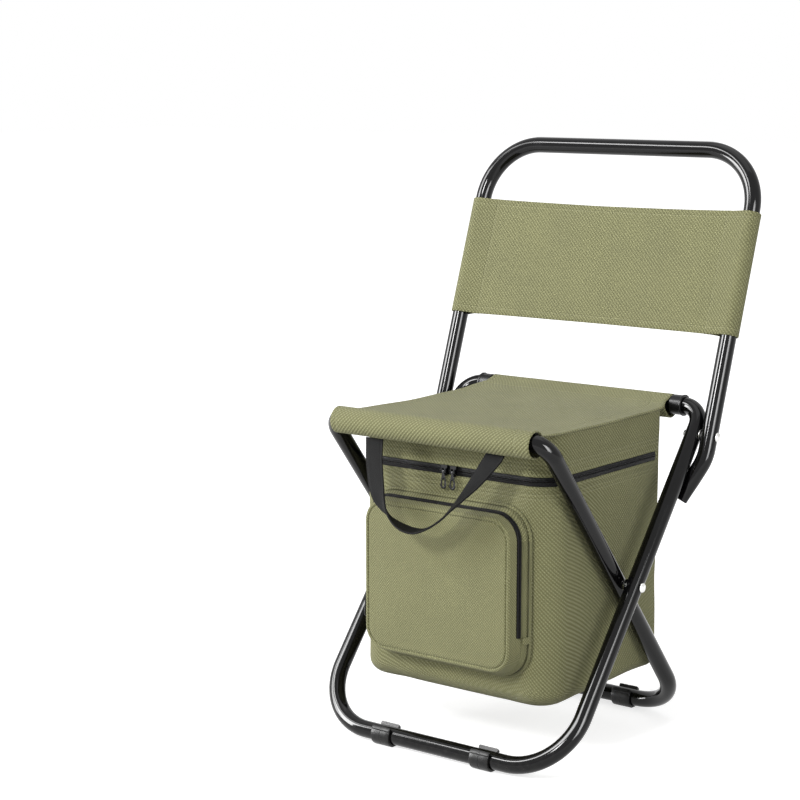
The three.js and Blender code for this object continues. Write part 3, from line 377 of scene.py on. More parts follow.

# For webbing and zip tape too, the second colour is painted shade in the weave's valleys.
WEBBING = cloth_finish("black_strap_webbing", (0.014, 0.014, 0.0145), (0.004, 0.004, 0.004),
                       (0.03, 0.03, 0.03), 0.0016, [("v", 0.0022), ("v", 0.0188)],
                       depth=0.0003, rough=0.6, sheen=0.0, shine=0.06)
ZIP_TAPE = cloth_finish("glossy_zip_tape", (0.007, 0.007, 0.0075), (0.003, 0.003, 0.003),
                        (0.02, 0.02, 0.02), 0.0011, depth=0.0002, rough=0.4, sheen=0.0, shine=0.12)
print("first cloths:", WEBBING.name, ZIP_TAPE.name)

# %% [markdown]
# ## Foam and foil
# The bag is lined with white closed-cell foam, and inside that with a thin silvery foil that crinkles
# where it was folded. Foam gets round cells as bump. Foil is metal with broad folded facets from a
# Voronoi pattern.

# %% Foam and foil
def foam_finish():
    """Height = distance to the nearest cell's middle, at about one millimetre a cell."""
    material, tree, shader = surface("closed_cell_foam", 0.8, Specular_IOR_Level=0.25)
    place = node(tree, "TexCoord").outputs["Object"]
    cells = node(tree, "TexVoronoi", {"Vector": place, "Scale": 900.0}).outputs["Distance"]
    colour = blend_colour(tree, cells, (0.76, 0.75, 0.71, 1), (0.62, 0.61, 0.57, 1))
    tree.links.new(colour, shader.inputs["Base Color"])
    raised(tree, shader, cells, 0.0003)
    return material

def foil_finish():
    """Height = distance to the edge of each cell, which gives folds between facets, plus a crackle."""
    material, tree, shader = surface("silver_foil", 0.3, Metallic=0.85)
    place = node(tree, "TexCoord").outputs["Object"]
    folds = node(tree, "TexVoronoi", {"Vector": place, "Scale": 38.0}, feature="DISTANCE_TO_EDGE")
    crackle = node(tree, "TexNoise", {"Vector": place, "Scale": 90.0, "Detail": 6.0})
    height = calc(tree, "MULTIPLY_ADD", folds.outputs["Distance"], 1.5, crackle.outputs["Fac"])
    colour = blend_colour(tree, crackle.outputs["Fac"], (0.5, 0.51, 0.52, 1), (0.72, 0.73, 0.74, 1))
    tree.links.new(colour, shader.inputs["Base Color"])
    tree.links.new(span(tree, crackle.outputs["Fac"], 0.3, 0.7, 0.22, 0.42), shader.inputs["Roughness"])
    raised(tree, shader, height, 0.0012)
    return material

FOAM_FINISH = foam_finish()
FOIL_FINISH = foil_finish()
print("inside finishes:", FOAM_FINISH.name, FOIL_FINISH.name)

# %% [markdown]
# ## From a grid of points to a mesh
# Every new piece is a surface over a grid: a table of points with two directions. Four neighbours make
# a face. A direction that runs round, such as the one about a tube, joins its last line to its first.
# The function also stores the cloth map in metres, merges points that fall together, and turns the
# faces outwards.

# %% Grid to mesh
def unit(v):
    """Vectors of length 1 in the same directions."""
    return v / np.maximum(np.linalg.norm(v, axis=-1, keepdims=True), 1e-12)

def lengths(points):
    """Distance run along a row of points, from 0 at the first."""
    return np.concatenate([[0], np.cumsum(np.linalg.norm(np.diff(points, axis=0), axis=1))])

MERGE = 2e-7

def skin(grid, round_u=False, round_v=False, uv=None, sharp=40, closed=True):
    """Faces (i, j), (i+1, j), (i+1, j+1), (i, j+1) over a grid P[i, j], with the cloth map given per grid
    corner."""
    n, m = grid.shape[:2]
    i, j = np.meshgrid(np.arange(n - (not round_u)), np.arange(m - (not round_v)), indexing="ij")
    corners = [(i, j), (i + 1, j), (i + 1, j + 1), (i, j + 1)]
    faces = np.stack([(a % n) * m + b % m for a, b in corners], axis=-1).reshape(-1, 4)
    mesh = bpy.data.meshes.new("skin")
    mesh.from_pydata(grid.reshape(-1, 3), [], faces)
    if uv is None:
        wide = np.concatenate([grid, grid[:1]]) if round_u else grid
        wide = np.concatenate([wide, wide[:, :1]], axis=1) if round_v else wide
        run = np.cumsum(np.linalg.norm(np.diff(wide, axis=0, prepend=wide[:1]), axis=-1), axis=0)
        side = np.cumsum(np.linalg.norm(np.diff(wide, axis=1, prepend=wide[:, :1]), axis=-1), axis=1)
        uv = np.stack([run, side], axis=-1)
    per_loop = np.stack([uv[a, b] for a, b in corners], axis=2).reshape(-1, 2)
    layer = mesh.uv_layers.new(name="cloth")
    layer.data.foreach_set("uv", per_loop.ravel().astype(np.float32))
    work = bmesh.new()
    work.from_mesh(mesh)
    bmesh.ops.remove_doubles(work, verts=work.verts, dist=MERGE)
    bmesh.ops.dissolve_degenerate(work, dist=MERGE / 2, edges=work.edges)
    if closed and work.calc_volume(signed=True) < 0:
        bmesh.ops.reverse_faces(work, faces=work.faces)
    work.to_mesh(mesh)
    work.free()
    mesh.shade_smooth()
    mesh.set_sharp_from_angle(angle=np.radians(sharp))
    return mesh

def piece(name, mesh, body, material, slot, *stands_for):
    """Puts a mesh in the room as a piece: it rides on a body and stands for CAD nodes; the slot is not
    used.
    """
    made = bpy.data.objects.new(name, mesh)
    mesh.name = name
    mesh.materials.append(material)
    bpy.context.scene.collection.objects.link(made)
    if body:
        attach(made, body)
    if stands_for:
        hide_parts(*stands_for)
    return made

# %% [markdown]
# ## Main sizes
# The script repeats only the sizes that shape its own pieces, in metres, with the names that a maker
# would use. Places come from the CAD nodes: the rivets give the two pivots. A foot bar lies at its reach
# from the pivot, and the seat bar of the same loop lies beyond the pivot on the same line.

# %% Main sizes
GAP = 0.0003
TUBE = 0.0085
WALL = 0.001
CLOTH = 0.0015

def middle(name):
    """The middle of a CAD node's box."""
    low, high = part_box(name)
    return (np.array(low) + np.array(high)) / 2

PIVOT = middle("frame_rivet_right")[1:]
BACK_PIVOT = middle("backrest_rivet_right")[1:]
FOOT_HEIGHT = TUBE + 0.0022

def leg_ends(foot_reach, seat_reach):
    """Foot and seat points of a leg in (y, z), both on one line through the pivot, at their reaches."""
    foot = np.array([PIVOT[0] + foot_reach, FOOT_HEIGHT])
    return foot, PIVOT + (foot - PIVOT) * (seat_reach / foot_reach)

FRONT_FOOT, REAR_BAR = leg_ends(-0.126, 0.127)
REAR_FOOT, FRONT_BAR = leg_ends(0.129, -0.1285)
print("rear bar (y, z):", REAR_BAR.round(4), "front bar:", FRONT_BAR.round(4))

# %% [markdown]
# ## Bent tubes
# Each frame is one length of 17 mm steel tube, bent on a machine. A bend is an arc that touches both
# straight runs. The tube is a circle carried along that path. It keeps its bore, because a real end is
# open. The CAD model has few-sided tubes, so the smooth ones here stand for them on the same path.

# %% Bent path
def bent_path(corners, radii, pitch=0.012):
    """Straight runs joined by arcs: an arc of radius r that turns by a starts r·tan(a/2) before its
    corner and runs along start + r·sin t·into + r·(1 − cos t)·side. Returns points and directions."""
    corners = np.array(corners, float)
    into = unit(np.diff(corners, axis=0))
    points, ways = [corners[:1]], [into[:1]]
    for k, r in enumerate(radii):
        turn = np.arccos(np.clip(into[k] @ into[k + 1], -1, 1))
        start = corners[k + 1] - into[k] * r * np.tan(turn / 2)
        side = unit(into[k + 1] - into[k] * (into[k] @ into[k + 1]))
        t = np.linspace(0, turn, max(8, int(np.degrees(turn) / 4)))[:, None]
        last = points[-1][-1]
        count = max(2, int(np.linalg.norm(start - last) / pitch))
        share = np.linspace(0, 1, count + 1)[1:-1, None]
        points.append(last * (1 - share) + start * share)
        points.append(start + r * np.sin(t) * into[k] + r * (1 - np.cos(t)) * side)
        ways += [np.repeat(into[k:k + 1], len(share), 0), np.cos(t) * into[k] + np.sin(t) * side]
    last = points[-1][-1]
    count = max(2, int(np.linalg.norm(corners[-1] - last) / pitch))
    share = np.linspace(0, 1, count + 1)[1:, None]
    points.append(last * (1 - share) + corners[-1] * share)
    ways.append(np.repeat(into[-1:], len(share), 0))
    return np.concatenate(points), np.concatenate(ways)

def tube(path, flat, squeeze=None, sides=40):
    """Ring point = centre + r·cos a·n + r·sin a·(t × n), where n is square to the plane of the bends. The
    rings run out along the outside and back along the bore, and squeeze flattens them along n."""
    points, ways = path
    n = unit(np.array(flat, float))
    across = np.cross(ways, n)
    a = np.linspace(0, 2 * np.pi, sides, endpoint=False)
    narrow = np.ones(len(points)) if squeeze is None else squeeze

    def shell(r):
        return (points[:, None] + (r * np.cos(a))[None, :, None] * narrow[:, None, None] * n
                + (r * np.sin(a))[None, :, None] * across[:, None])

    grid = np.concatenate([shell(TUBE), shell(TUBE - WALL)[::-1]])
    return skin(grid, round_u=True, round_v=True)

# %% Scissor frames
SEAT_BEND = 0.022

def loop_path(half_width, foot, seat, foot_bend):
    """A loop from the middle of the seat bar down one leg, along the foot bar and up the other leg."""
    corners = [(GAP / 2, *seat), (half_width, *seat), (half_width, *foot),
               (-half_width, *foot), (-half_width, *seat), (-GAP / 2, *seat)]
    return bent_path(corners, [SEAT_BEND, foot_bend, foot_bend, SEAT_BEND])

def square_to(foot, seat):
    """The direction square to a leg's plane: across times up the leg."""
    return np.cross((1, 0, 0), (0, *(seat - foot)))

LOOPS = {
    "outer": (0.147, FRONT_FOOT, REAR_BAR, 0.062),
    "inner": (0.1286, REAR_FOOT, FRONT_BAR, 0.056),
}
for side, (half, foot, seat_end, foot_bend) in LOOPS.items():
    loop = tube(loop_path(half, foot, seat_end, foot_bend), square_to(foot, seat_end))
    print("faces in the", side, "frame:", len(loop.polygons))
    piece(f"{side}_frame_tube", loop, f"{side}_frame", PAINT, "tube_paint", f"{side}_leg_frame")

# %% [markdown]
# ## Backrest tube
# The backrest loop leans back on its rivets. Below them its legs bend inwards behind the rear legs, and
# their last stretch is pressed flat. There they meet the rear legs and stop the backrest. A real tube
# also widens as it is pressed. The squeeze here only thins it, along the direction square to the loop.

# %% Backrest tube
LEAN = np.radians(18.8)
BACK_HALF, TAIL_HALF = 0.1654, 0.1454
BACK_TOP, KNEE, TAIL = 0.294, -0.0224, -0.066
PRESSED, PRESS_START, PRESS_RUN = 0.36, -0.040, 0.026
BACK_BENDS = [0.046, 0.062, 0.062, 0.046]
BACK_UP = np.array([0, np.sin(LEAN), np.cos(LEAN)])
BACK_OUT = np.array([0, np.cos(LEAN), -np.sin(LEAN)])

def on_back(x, up, out=0.0):
    """A point given across, up the uprights and behind them, from the backrest's rivets."""
    x, up, out = np.broadcast_arrays(x, up, out)
    origin = np.array([0, *BACK_PIVOT])
    rise, behind = up[..., None] * BACK_UP, out[..., None] * BACK_OUT
    return origin + x[..., None] * np.array([1, 0, 0]) + rise + behind

right_corners = [(BACK_HALF, BACK_TOP), (BACK_HALF, KNEE), (TAIL_HALF, TAIL)]
back_corners = [(-x, up) for x, up in right_corners[::-1]] + right_corners
back_path = bent_path([on_back(x, up) for x, up in back_corners], BACK_BENDS, pitch=0.004)
height_up = (back_path[0] - on_back(0.0, 0.0)) @ BACK_UP
pressed = np.clip((PRESS_START - height_up) / PRESS_RUN, 0, 1)
pressed = pressed * pressed * (3 - 2 * pressed)
piece("backrest_tube", tube(back_path, BACK_OUT, squeeze=1 - PRESSED * pressed), "backrest", PAINT,
      "tube_paint", "backrest_frame")
print("backrest path in metres:", round(lengths(back_path[0])[-1], 3))

# %% [markdown]
# ## Rivets and washers
# A rivet is a bright dome outside, a shank through both tubes and a closed head inside. It is a turned
# shape: a profile of radius and height carried once round its axis. The dome has a thin brim, which
# catches the light.

# %% Turned shapes
def turned(profile, centre, axis, sides=36):
    """Point = centre + h·axis + r·(cos a·p + sin a·q), with p and q square to the axis."""
    profile = np.array(profile, float)
    axis = unit(np.array(axis, float))
    p = unit(np.cross(axis, (0.2, 0.3, 1)))
    q = np.cross(axis, p)
    a = np.linspace(0, 2 * np.pi, sides, endpoint=False)
    ring = np.cos(a)[:, None] * p + np.sin(a)[:, None] * q
    grid = np.array(centre) + profile[:, 1, None, None] * axis + profile[:, 0, None, None] * ring[None]
    return skin(grid, round_v=True)

def dome(radius, height, start, count=9):
    """Radius = R·cos t, height = start + H·sin t: a low dome from its brim to its top."""
    t = np.linspace(0, np.pi / 2, count)
    return np.stack([radius * np.cos(t), start + height * np.sin(t)], axis=1)

REACH = 0.018
SHANK, HEAD, BRIM = 0.0025, 0.004, 0.0047
RIVET = np.concatenate([
    dome(HEAD, -0.0016, -REACH)[::-1],
    [(SHANK, -REACH), (SHANK, REACH), (0.0046, REACH), (0.00475, REACH + 0.0003)],
    dome(BRIM, 0.0022, REACH + 0.0004),
])
WASHER = [(0.0028, -0.0004), (0.0056, -0.0004), (0.006, -0.0002), (0.006, 0.0002), (0.0056, 0.0004),
          (0.0028, 0.0004), (0.0028, -0.0004)]
RIVET_PLACES = {"frame": (0.1378, PIVOT), "backrest": (0.1562, BACK_PIVOT)}
SIDES = ((-1, "left"), (1, "right"))
for side, word in SIDES:
    for kind, (half, pivot) in RIVET_PLACES.items():
        for part, profile in (("rivet", RIVET), ("washer", WASHER)):
            node_name = f"{kind}_{part}_{word}"
            shape = turned(profile, (side * half, *pivot), (side, 0, 0))
            piece(f"{node_name}_bright", shape, "outer_frame", ZINC, "zinc", node_name)
print("rivet length in mm:", round(1000 * np.ptp(RIVET[:, 1]), 1))

# %% [markdown]
# ## Collars and foot clips
# Two plastic collars sit on the rear seat bar and keep the seat off the bends. A foot clip is a C of
# plastic snapped on the foot bar, with a flat pad on the floor, a raised lip on each jaw and a parting
# line in its middle. The collar is a turned shape. The clip is one outline carried across, drawn in a
# little at its ends.

# %% Collars
COLLAR = [(0.0088, -0.007), (0.0096, -0.007), (0.0102, -0.0065), (0.0102, 0.0042), (0.0107, 0.0046),
          (0.011, 0.0052), (0.011, 0.0066), (0.0107, 0.007), (0.0088, 0.007), (0.0088, -0.007)]
for side, word in SIDES:
    node_name = f"rear_bar_collar_{word}"
    centre = (middle(node_name)[0], *REAR_BAR)
    piece(f"seat_bar_collar_{word}", turned(COLLAR, centre, (side, 0, 0), 16), "outer_frame", PLASTIC,
          "black_plastic", node_name)
print("collar length in mm:", round(1000 * np.ptp(np.array(COLLAR)[:, 1]), 1))

# %% Foot clips
CLIP_BORE, CLIP_THICK, CLIP_LIP = 0.0088, 0.0025, 0.001
CLIP_PLACE = 0.06

def clip_mesh(centre):
    """Outline: an outer arc, floored at the pad and raised at the two lips, and back along the bore.
    Across: the outline is drawn towards its middle line near the ends and at the parting line."""
    from_mouth = np.pi / 2 + 0.2 * np.pi
    turn = np.linspace(from_mouth, from_mouth + 1.6 * np.pi, 65)
    edge = np.minimum(turn - turn[0], turn[-1] - turn)
    outer_r = CLIP_BORE + CLIP_THICK + (edge < 0.12 * np.pi) * CLIP_LIP
    inner = np.stack([CLIP_BORE * np.cos(turn), CLIP_BORE * np.sin(turn)], axis=1)
    outer = np.stack([outer_r * np.cos(turn), np.maximum(outer_r * np.sin(turn), -FOOT_HEIGHT)], axis=1)
    outline = np.concatenate([outer, inner[::-1]])
    middle_line = np.concatenate([(outer + inner) / 2, (outer + inner)[::-1] / 2])
    half_x = np.array([0.35, 0.7, 5.6, 6, 10.2, 10.7, 11, 11]) * 0.001
    half_draw = np.array([0.18, 0, 0, 0, 0, 0.1, 0.3, 1])
    x, draw_in = np.concatenate([-half_x[::-1], half_x]), np.concatenate([half_draw[::-1], half_draw])
    section = outline + (middle_line - outline) * draw_in[:, None, None]
    section[:, :, 1] = np.maximum(section[:, :, 1], -FOOT_HEIGHT)
    across = np.broadcast_to(x[:, None, None], (*section.shape[:2], 1))
    grid = np.concatenate([across, section], axis=2) + np.array(centre)
    return skin(grid, round_v=True, sharp=32)

for end, at, body in (("front", FRONT_FOOT, "outer_frame"), ("rear", REAR_FOOT, "inner_frame")):
    for side, word in SIDES:
        clip = piece(f"foot_pad_{end}_{word}", clip_mesh((side * CLIP_PLACE, *at)), body, PLASTIC,
                     "black_plastic", f"foot_clip_{end}_{word}")
print("clip width in mm:", round(1000 * clip.dimensions.x, 1))

# %% [markdown]
# ## Sheets with thickness
# Cloth is modelled as its middle surface first. A slab then grows two skins from it, one on each side,
# and joins them round a soft rim, because a real hem is a fold and never a knife edge. A Catmull-Rom
# curve gives the path that the cloth takes round a bar, from a few points that a sewer would mark.

# %% Curves and slabs
def curve_through(points, count):
    """Catmull-Rom: p = (2b + (c − a)t + (2a − 5b + 4c − d)t² + (3b − a − 3c + d)t³)/2, spaced evenly."""
    points = np.array(points, float)
    ends = [2 * points[:1] - points[1:2], points, 2 * points[-1:] - points[-2:-1]]
    wide = np.concatenate(ends)
    at = np.linspace(0, len(points) - 1, 12 * count)
    k = np.minimum(at.astype(int), len(points) - 2)
    t = (at - k)[:, None]
    a, b, c, d = wide[k], wide[k + 1], wide[k + 2], wide[k + 3]
    square, cube = 2 * a - 5 * b + 4 * c - d, 3 * b - a - 3 * c + d
    fine = (2 * b + (c - a) * t + square * t ** 2 + cube * t ** 3) / 2
    run = lengths(fine)
    even = np.linspace(0, run[-1], count)
    return np.stack([np.interp(even, run, axis) for axis in fine.T], axis=1)

def steps(value, low, high):
    """A smooth share from 0 at the low value to 1 at the high one: t²·(3 − 2t)."""
    t = np.clip((value - low) / (high - low), 0, 1)
    return t * t * (3 - 2 * t)

def slab(mid, thick, lip=0.45):
    """Skins M ± (t/2)·n of a sheet M[i, j], n square to it, joined round a rim lip·t outside its edge."""
    along, over = np.gradient(mid, axis=0), np.gradient(mid, axis=1)
    n = unit(np.cross(along, over))
    t = np.broadcast_to(thick, mid.shape[:2])[..., None]
    left = mid[:, :1] - unit(over[:, :1]) * t[:, :1] * lip
    right = mid[:, -1:] + unit(over[:, -1:]) * t[:, -1:] * lip
    ring = np.concatenate([mid + n * t / 2, right, (mid - n * t / 2)[:, ::-1], left], axis=1)
    head = mid[0] - unit(along[0]) * t[0] * lip
    tail = mid[-1] + unit(along[-1]) * t[-1] * lip
    rims = [np.concatenate([edge, edge[-1:], edge[::-1], edge[:1]])[None] for edge in (head, tail)]
    grid = np.concatenate([rims[0], ring, rims[1]])
    run = lengths(mid[:, mid.shape[1] // 2])
    side = lengths(mid[0])
    u = np.concatenate([run[:1], run, run[-1:]])
    v = np.concatenate([side, side[-1:], side[::-1], side[:1], side[:1]])
    uv = np.stack(np.broadcast_arrays(u[:, None], v[None]), axis=-1)
    return skin(grid, round_v=True, uv=uv, sharp=60)

# %% [markdown]
# ## Seat sling
# The seat is one piece of cloth. It comes up from a seam in front of the rear bar, goes round the bar,
# sags between the bars and meets the front sleeve in a sharp crease below that sleeve's top. The sleeve
# goes round the front bar and ends in a second seam.

# %% Seat sling
SEAT_HALF, SEAT_NARROWS = 0.1170, 0.0070
SEAT_ROWS, SEAT_COLUMNS = 200, 49
ON_TOP_ROWS = 136
EDGE_CROWD = 0.82
REAR_LAP, FRONT_LAP = 0.020, 0.019
REAR_LIFT, FRONT_LIFT = 0.009, 0.0155
FOLD_WIDTH, FOLD_THICK = 0.007, 0.0010
RIPPLE = 0.0005
FRONT_ROLL, REAR_ROLL = 0.0266, 0.0245
SEAT_SAG = 0.0102
SEAT_HEM = 0.0062
CREASE_DROP = 0.0052
CREASE_TURN = 34

def roll_centre(bar, diameter):
    """A roll of cloth hangs from the top of its bar, so its middle lies below the bar's."""
    return np.array([bar[0], bar[1] + TUBE + GAP + CLOTH - diameter / 2])

FRONT_MIDDLE = roll_centre(FRONT_BAR, FRONT_ROLL)
REAR_MIDDLE = roll_centre(REAR_BAR, REAR_ROLL)

def seat_top(y):
    """Height of the seat: the line between the rolls' tops less sag − (sag − crease)·n in the front half
    and sag·(1 − n³) in the rear half, where n = (2t − 1)² is 1 at the bars and 0 in the middle."""
    t = np.clip((y - FRONT_MIDDLE[0]) / (REAR_MIDDLE[0] - FRONT_MIDDLE[0]), 0, 1)
    front, rear = FRONT_MIDDLE[1] + FRONT_ROLL / 2, REAR_MIDDLE[1] + REAR_ROLL / 2
    near = (2 * t - 1) ** 2
    in_front, behind = SEAT_SAG - (SEAT_SAG - CREASE_DROP) * near, SEAT_SAG * (1 - near ** 3)
    return front + (rear - front) * t - np.where(t < 0.5, in_front, behind)

def seat_half(y):
    """Half of the seat's width, which narrows just before the rear bar."""
    return SEAT_HALF - SEAT_NARROWS * steps(np.asarray(y), REAR_BAR[0] - 0.032, REAR_BAR[0] - 0.011)

def arc(centre, radius, start, stop, count):
    """Point = centre + radius·(cos a, sin a), with a from start to stop in degrees."""
    a = np.radians(np.linspace(start, stop, count))
    return np.stack([centre[0] + radius * np.cos(a), centre[1] + radius * np.sin(a)], axis=1)

def under(y):
    """The middle of a second layer of cloth that lies against the seat from below."""
    return [y, seat_top(y) - 1.5 * CLOTH - GAP]

rear_seam, front_seam = REAR_BAR[0] - REAR_LAP, FRONT_BAR[0] + FRONT_LAP
sheet_y = np.linspace(REAR_BAR[0] - REAR_LIFT, FRONT_BAR[0] + FRONT_LIFT, 19)
front_arc = arc(FRONT_MIDDLE, FRONT_ROLL / 2 - CLOTH / 2, CREASE_TURN, 350, 19)
on_top = curve_through(np.concatenate([
    [under(rear_seam - 0.004), under(rear_seam)],
    arc(REAR_MIDDLE, REAR_ROLL / 2 - CLOTH / 2, -150, 86, 15),
    np.stack([sheet_y, seat_top(sheet_y) - CLOTH / 2], axis=1),
    front_arc[:1],
]), ON_TOP_ROWS)
lap = [under(front_seam - 0.003), under(front_seam + 0.004)]
round_front = curve_through(np.concatenate([front_arc, lap]), SEAT_ROWS - ON_TOP_ROWS + 1)
seat_path = np.concatenate([on_top, round_front[1:]])
quarter = np.pi / 2 * EDGE_CROWD
s = np.sin(np.linspace(-1, 1, SEAT_COLUMNS) * quarter) / np.sin(quarter)
y = np.broadcast_to(seat_path[:, :1], (SEAT_ROWS, SEAT_COLUMNS))
run = lengths(seat_path)
crease = run[len(on_top) - 1]
on_sheet = np.interp(run, [0.062, 0.085, crease - 0.02, crease - 0.002], [0, 1, 1, 0])[:, None]
edge = np.clip(1 - (1 - np.abs(s)) * SEAT_HALF / FOLD_WIDTH, 0, 1)[None]
soft = RIPPLE * np.sin(46 * y + 7 * s) * np.cos(5 * s + 20 * y) * on_sheet
seat_mid = np.stack([s * seat_half(y), y, seat_path[:, 1:] + soft + GAP * edge * on_sheet], axis=-1)
seat_thick = CLOTH + FOLD_THICK * on_sheet * (edge > 0)
sheet_rows = slice(int(np.argmax(seat_path[:, 0])), int(np.argmin(seat_path[:, 0])))
top_run = np.interp([-rear_seam, -front_seam], -seat_path[sheet_rows, 0], run[sheet_rows])
hem = [("v", SEAT_HEM), ("v", 2 * seat_half(REAR_BAR[0]) - SEAT_HEM)]
SEAT_CLOTH = olive_cloth("olive_seat_cloth", [("u", top_run[0]), ("u", top_run[1]), *hem])
seat = piece("seat_sling_cloth", slab(seat_mid, seat_thick), None, SEAT_CLOTH, "olive_fabric",
             "seat_sling")
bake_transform(seat)

# %% [markdown]
# ## Backrest band
# The band is one more sheet. At each side it goes round an upright and is sewn to its own back, which
# makes a sleeve. The pull of a sitter's back draws the seam between the sleeve's two layers, so the
# sheet lies a little behind the sleeves' fronts. Seams along its two long hems hold the folds.

# %% Backrest band
BAND_LOW, BAND_HIGH = 0.1028, 0.2292
BAND_ROWS, BAND_COLUMNS = 260, 41
BAND_HEM, BAND_FOLD, BAND_FOLD_THICK = 0.0058, 0.0065, 0.0006
BAND_SAG, BAND_RIPPLE, PULL_IN = 0.003, 0.0006, 0.0012
SLEEVE = 0.0242
SEAM_OUT = -0.0040
ring = TUBE + GAP + CLOTH / 2
turn = np.radians(np.linspace(-106, 122, 14))
right_end = np.stack([BACK_HALF + ring * np.cos(turn), ring * np.sin(turn)], axis=1)

def band_front(x):
    """The band's own line in plan: level with the seams, with a sag·(1 − (x/half)²) to the rear."""
    return SEAM_OUT + BAND_SAG * np.maximum(1 - (x / (BACK_HALF - SLEEVE)) ** 2, 0)

tail_x = BACK_HALF - SLEEVE + np.array([0.003, -0.002])
tail = np.stack([tail_x, band_front(tail_x) + CLOTH + GAP], axis=1)
across = np.linspace(-BACK_HALF + SLEEVE, BACK_HALF - SLEEVE, 15)
band_path = curve_through(np.concatenate([
    (tail * (-1, 1))[::-1], (right_end * (-1, 1))[::-1],
    np.stack([across, band_front(across)], axis=1), right_end, tail,
]), BAND_ROWS)
run = lengths(band_path)
up = np.linspace(0, 1, BAND_COLUMNS)
up = BAND_LOW + (BAND_HIGH - BAND_LOW) * (up - 0.12 * np.sin(2 * np.pi * up) / np.pi)
x, out = band_path[:, :1], band_path[:, 1:]
middle_share = np.clip(1 - (x / (BACK_HALF - 0.02)) ** 2, 0, 1)
from_edge = np.minimum(up - BAND_LOW, BAND_HIGH - up)[None]
pull_in = PULL_IN * middle_share * np.cos(np.pi * (up - BAND_LOW) / (BAND_HIGH - BAND_LOW))[None]
soft = BAND_RIPPLE * middle_share * np.sin(24 * x + 60 * up[None]) * np.cos(31 * x - 22 * up[None])
band_mid = on_back(np.broadcast_to(x, (BAND_ROWS, BAND_COLUMNS)), up[None] + pull_in, out + soft)
band_thick = CLOTH + BAND_FOLD_THICK * (from_edge < BAND_FOLD) * (middle_share > 0)
front_rows = slice(int(np.argmin(band_path[:, 0])), int(np.argmax(band_path[:, 0])))
tails = np.interp([SLEEVE - BACK_HALF, BACK_HALF - SLEEVE], band_path[front_rows, 0], run[front_rows])
BAND_CLOTH = olive_cloth("olive_band_cloth", [
    ("u", tails[0]), ("u", tails[1]), ("v", BAND_HEM), ("v", BAND_HIGH - BAND_LOW - BAND_HEM),
])
band = piece("backrest_band_cloth", slab(band_mid, band_thick), "backrest", BAND_CLOTH, "olive_fabric",
             "backrest_fabric")
print("band cloth in mm:", round(1000 * run[-1]), "by", round(1000 * (BAND_HIGH - BAND_LOW)))

# %% [markdown]
# ## The bag's plan
# Seen from above, the bag is a rectangle with large round corners in front and small ones behind. Every
# layer of it, from cloth to foil, is the same outline drawn in by some depth. The outline keeps the
# same number of points at every depth, so the layers match point for point.

# %% Plan outline
BAG_MIDDLE = middle("cooler_tub_shell")[1]
POCKET_Z = middle("pocket_panel")[2]
BAG = {"half_x": 0.116, "half_y": 0.101, "low": 0.030, "high": 0.011, "arc": 10, "run": 22}
POCKET = {"half_x": 0.086, "half_y": 0.07477, "low": 0.022, "high": 0.022, "arc": 12, "run": 46}

def plan(shape, inset):
    """Corner arcs of radius R − inset about fixed middles, with even points on the sides between."""
    w, d = shape["half_x"] - inset, shape["half_y"] - inset
    arcs = []
    for sx, sy, quarter in [(1, 1, 0), (-1, 1, 1), (-1, -1, 2), (1, -1, 3)]:
        r = max(shape["high" if sy > 0 else "low"] - inset, 0.0006)
        a = (np.linspace(0, 1, shape["arc"] + 1) + quarter) * np.pi / 2
        arcs.append(np.stack([sx * (w - r) + r * np.cos(a), sy * (d - r) + r * np.sin(a)], axis=1))
    sides = []
    for k in range(4):
        share = np.linspace(0, 1, shape["run"] + 2)[1:-1, None]
        sides += [arcs[k], arcs[k][-1] * (1 - share) + arcs[(k + 1) % 4][0] * share]
    return np.concatenate(sides)

def outward(shape):
    """The direction out of the outline at each of its points."""
    return unit(plan(shape, 0.0) - plan(shape, 0.004))

def at_height(outline, z):
    """The bag's outline in its place in the room, at one height or at one for each of its points."""
    return np.column_stack([outline, np.broadcast_to(z, len(outline))]) + (0, BAG_MIDDLE, 0)

print("points round the bag:", len(plan(BAG, 0)), "round the pocket:", len(plan(POCKET, 0)))

# %% [markdown]
# ## One layer of the bag
# The bag's tub is a shell lofted from the middle of its base, round the foot and up the walls. A layer
# is two such surfaces at two depths, joined at the rim. All the layers share one table of rows, so a
# sag worked out once for the outside moves the foam and the foil with it.

# %% Layer surfaces
BASE_Z, RIM_Z = (corner[2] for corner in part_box("cooler_tub_shell"))
TAPE = 0.0042
WALL_ROWS = 30
FOOT_ROUND = 0.014

def tub_surface(depth):
    """Rows: the base scaled up from its middle, a quarter round foot, then the wall up to the rim."""
    r = max(FOOT_ROUND - depth, 0.003)
    low = BASE_Z + depth
    rows = [at_height(plan(BAG, depth + r) * share, low) for share in np.arange(7) * 0.15]
    rows += [at_height(plan(BAG, depth + r * (1 - np.sin(t))), low + r * (1 - np.cos(t)))
             for t in np.linspace(0, np.pi / 2, 7)]
    rows += [at_height(plan(BAG, depth), z) for z in np.linspace(low + r, RIM_Z, WALL_ROWS + 1)[1:]]
    return np.stack(rows)

OUTSIDE = tub_surface(0.0)
print("rows and columns of a layer:", OUTSIDE.shape[:2])

# %% [markdown]
# ## Letting the bag sag
# A filled soft bag bulges between its seams, and its base hangs. Drawing that by eye looks stiff, so
# the outside is settled once as cloth: held along the zip and behind the pocket, pushed out by a little
# inner pressure, and pulled down by its weight. The run moves it much further than real padded cloth
# goes, so the movement is scaled as a whole until its longest step is 3 mm, and every layer takes it.

# %% Sag of the walls
SAG_CAP, QUICK_SAG = 0.003, 0.0026

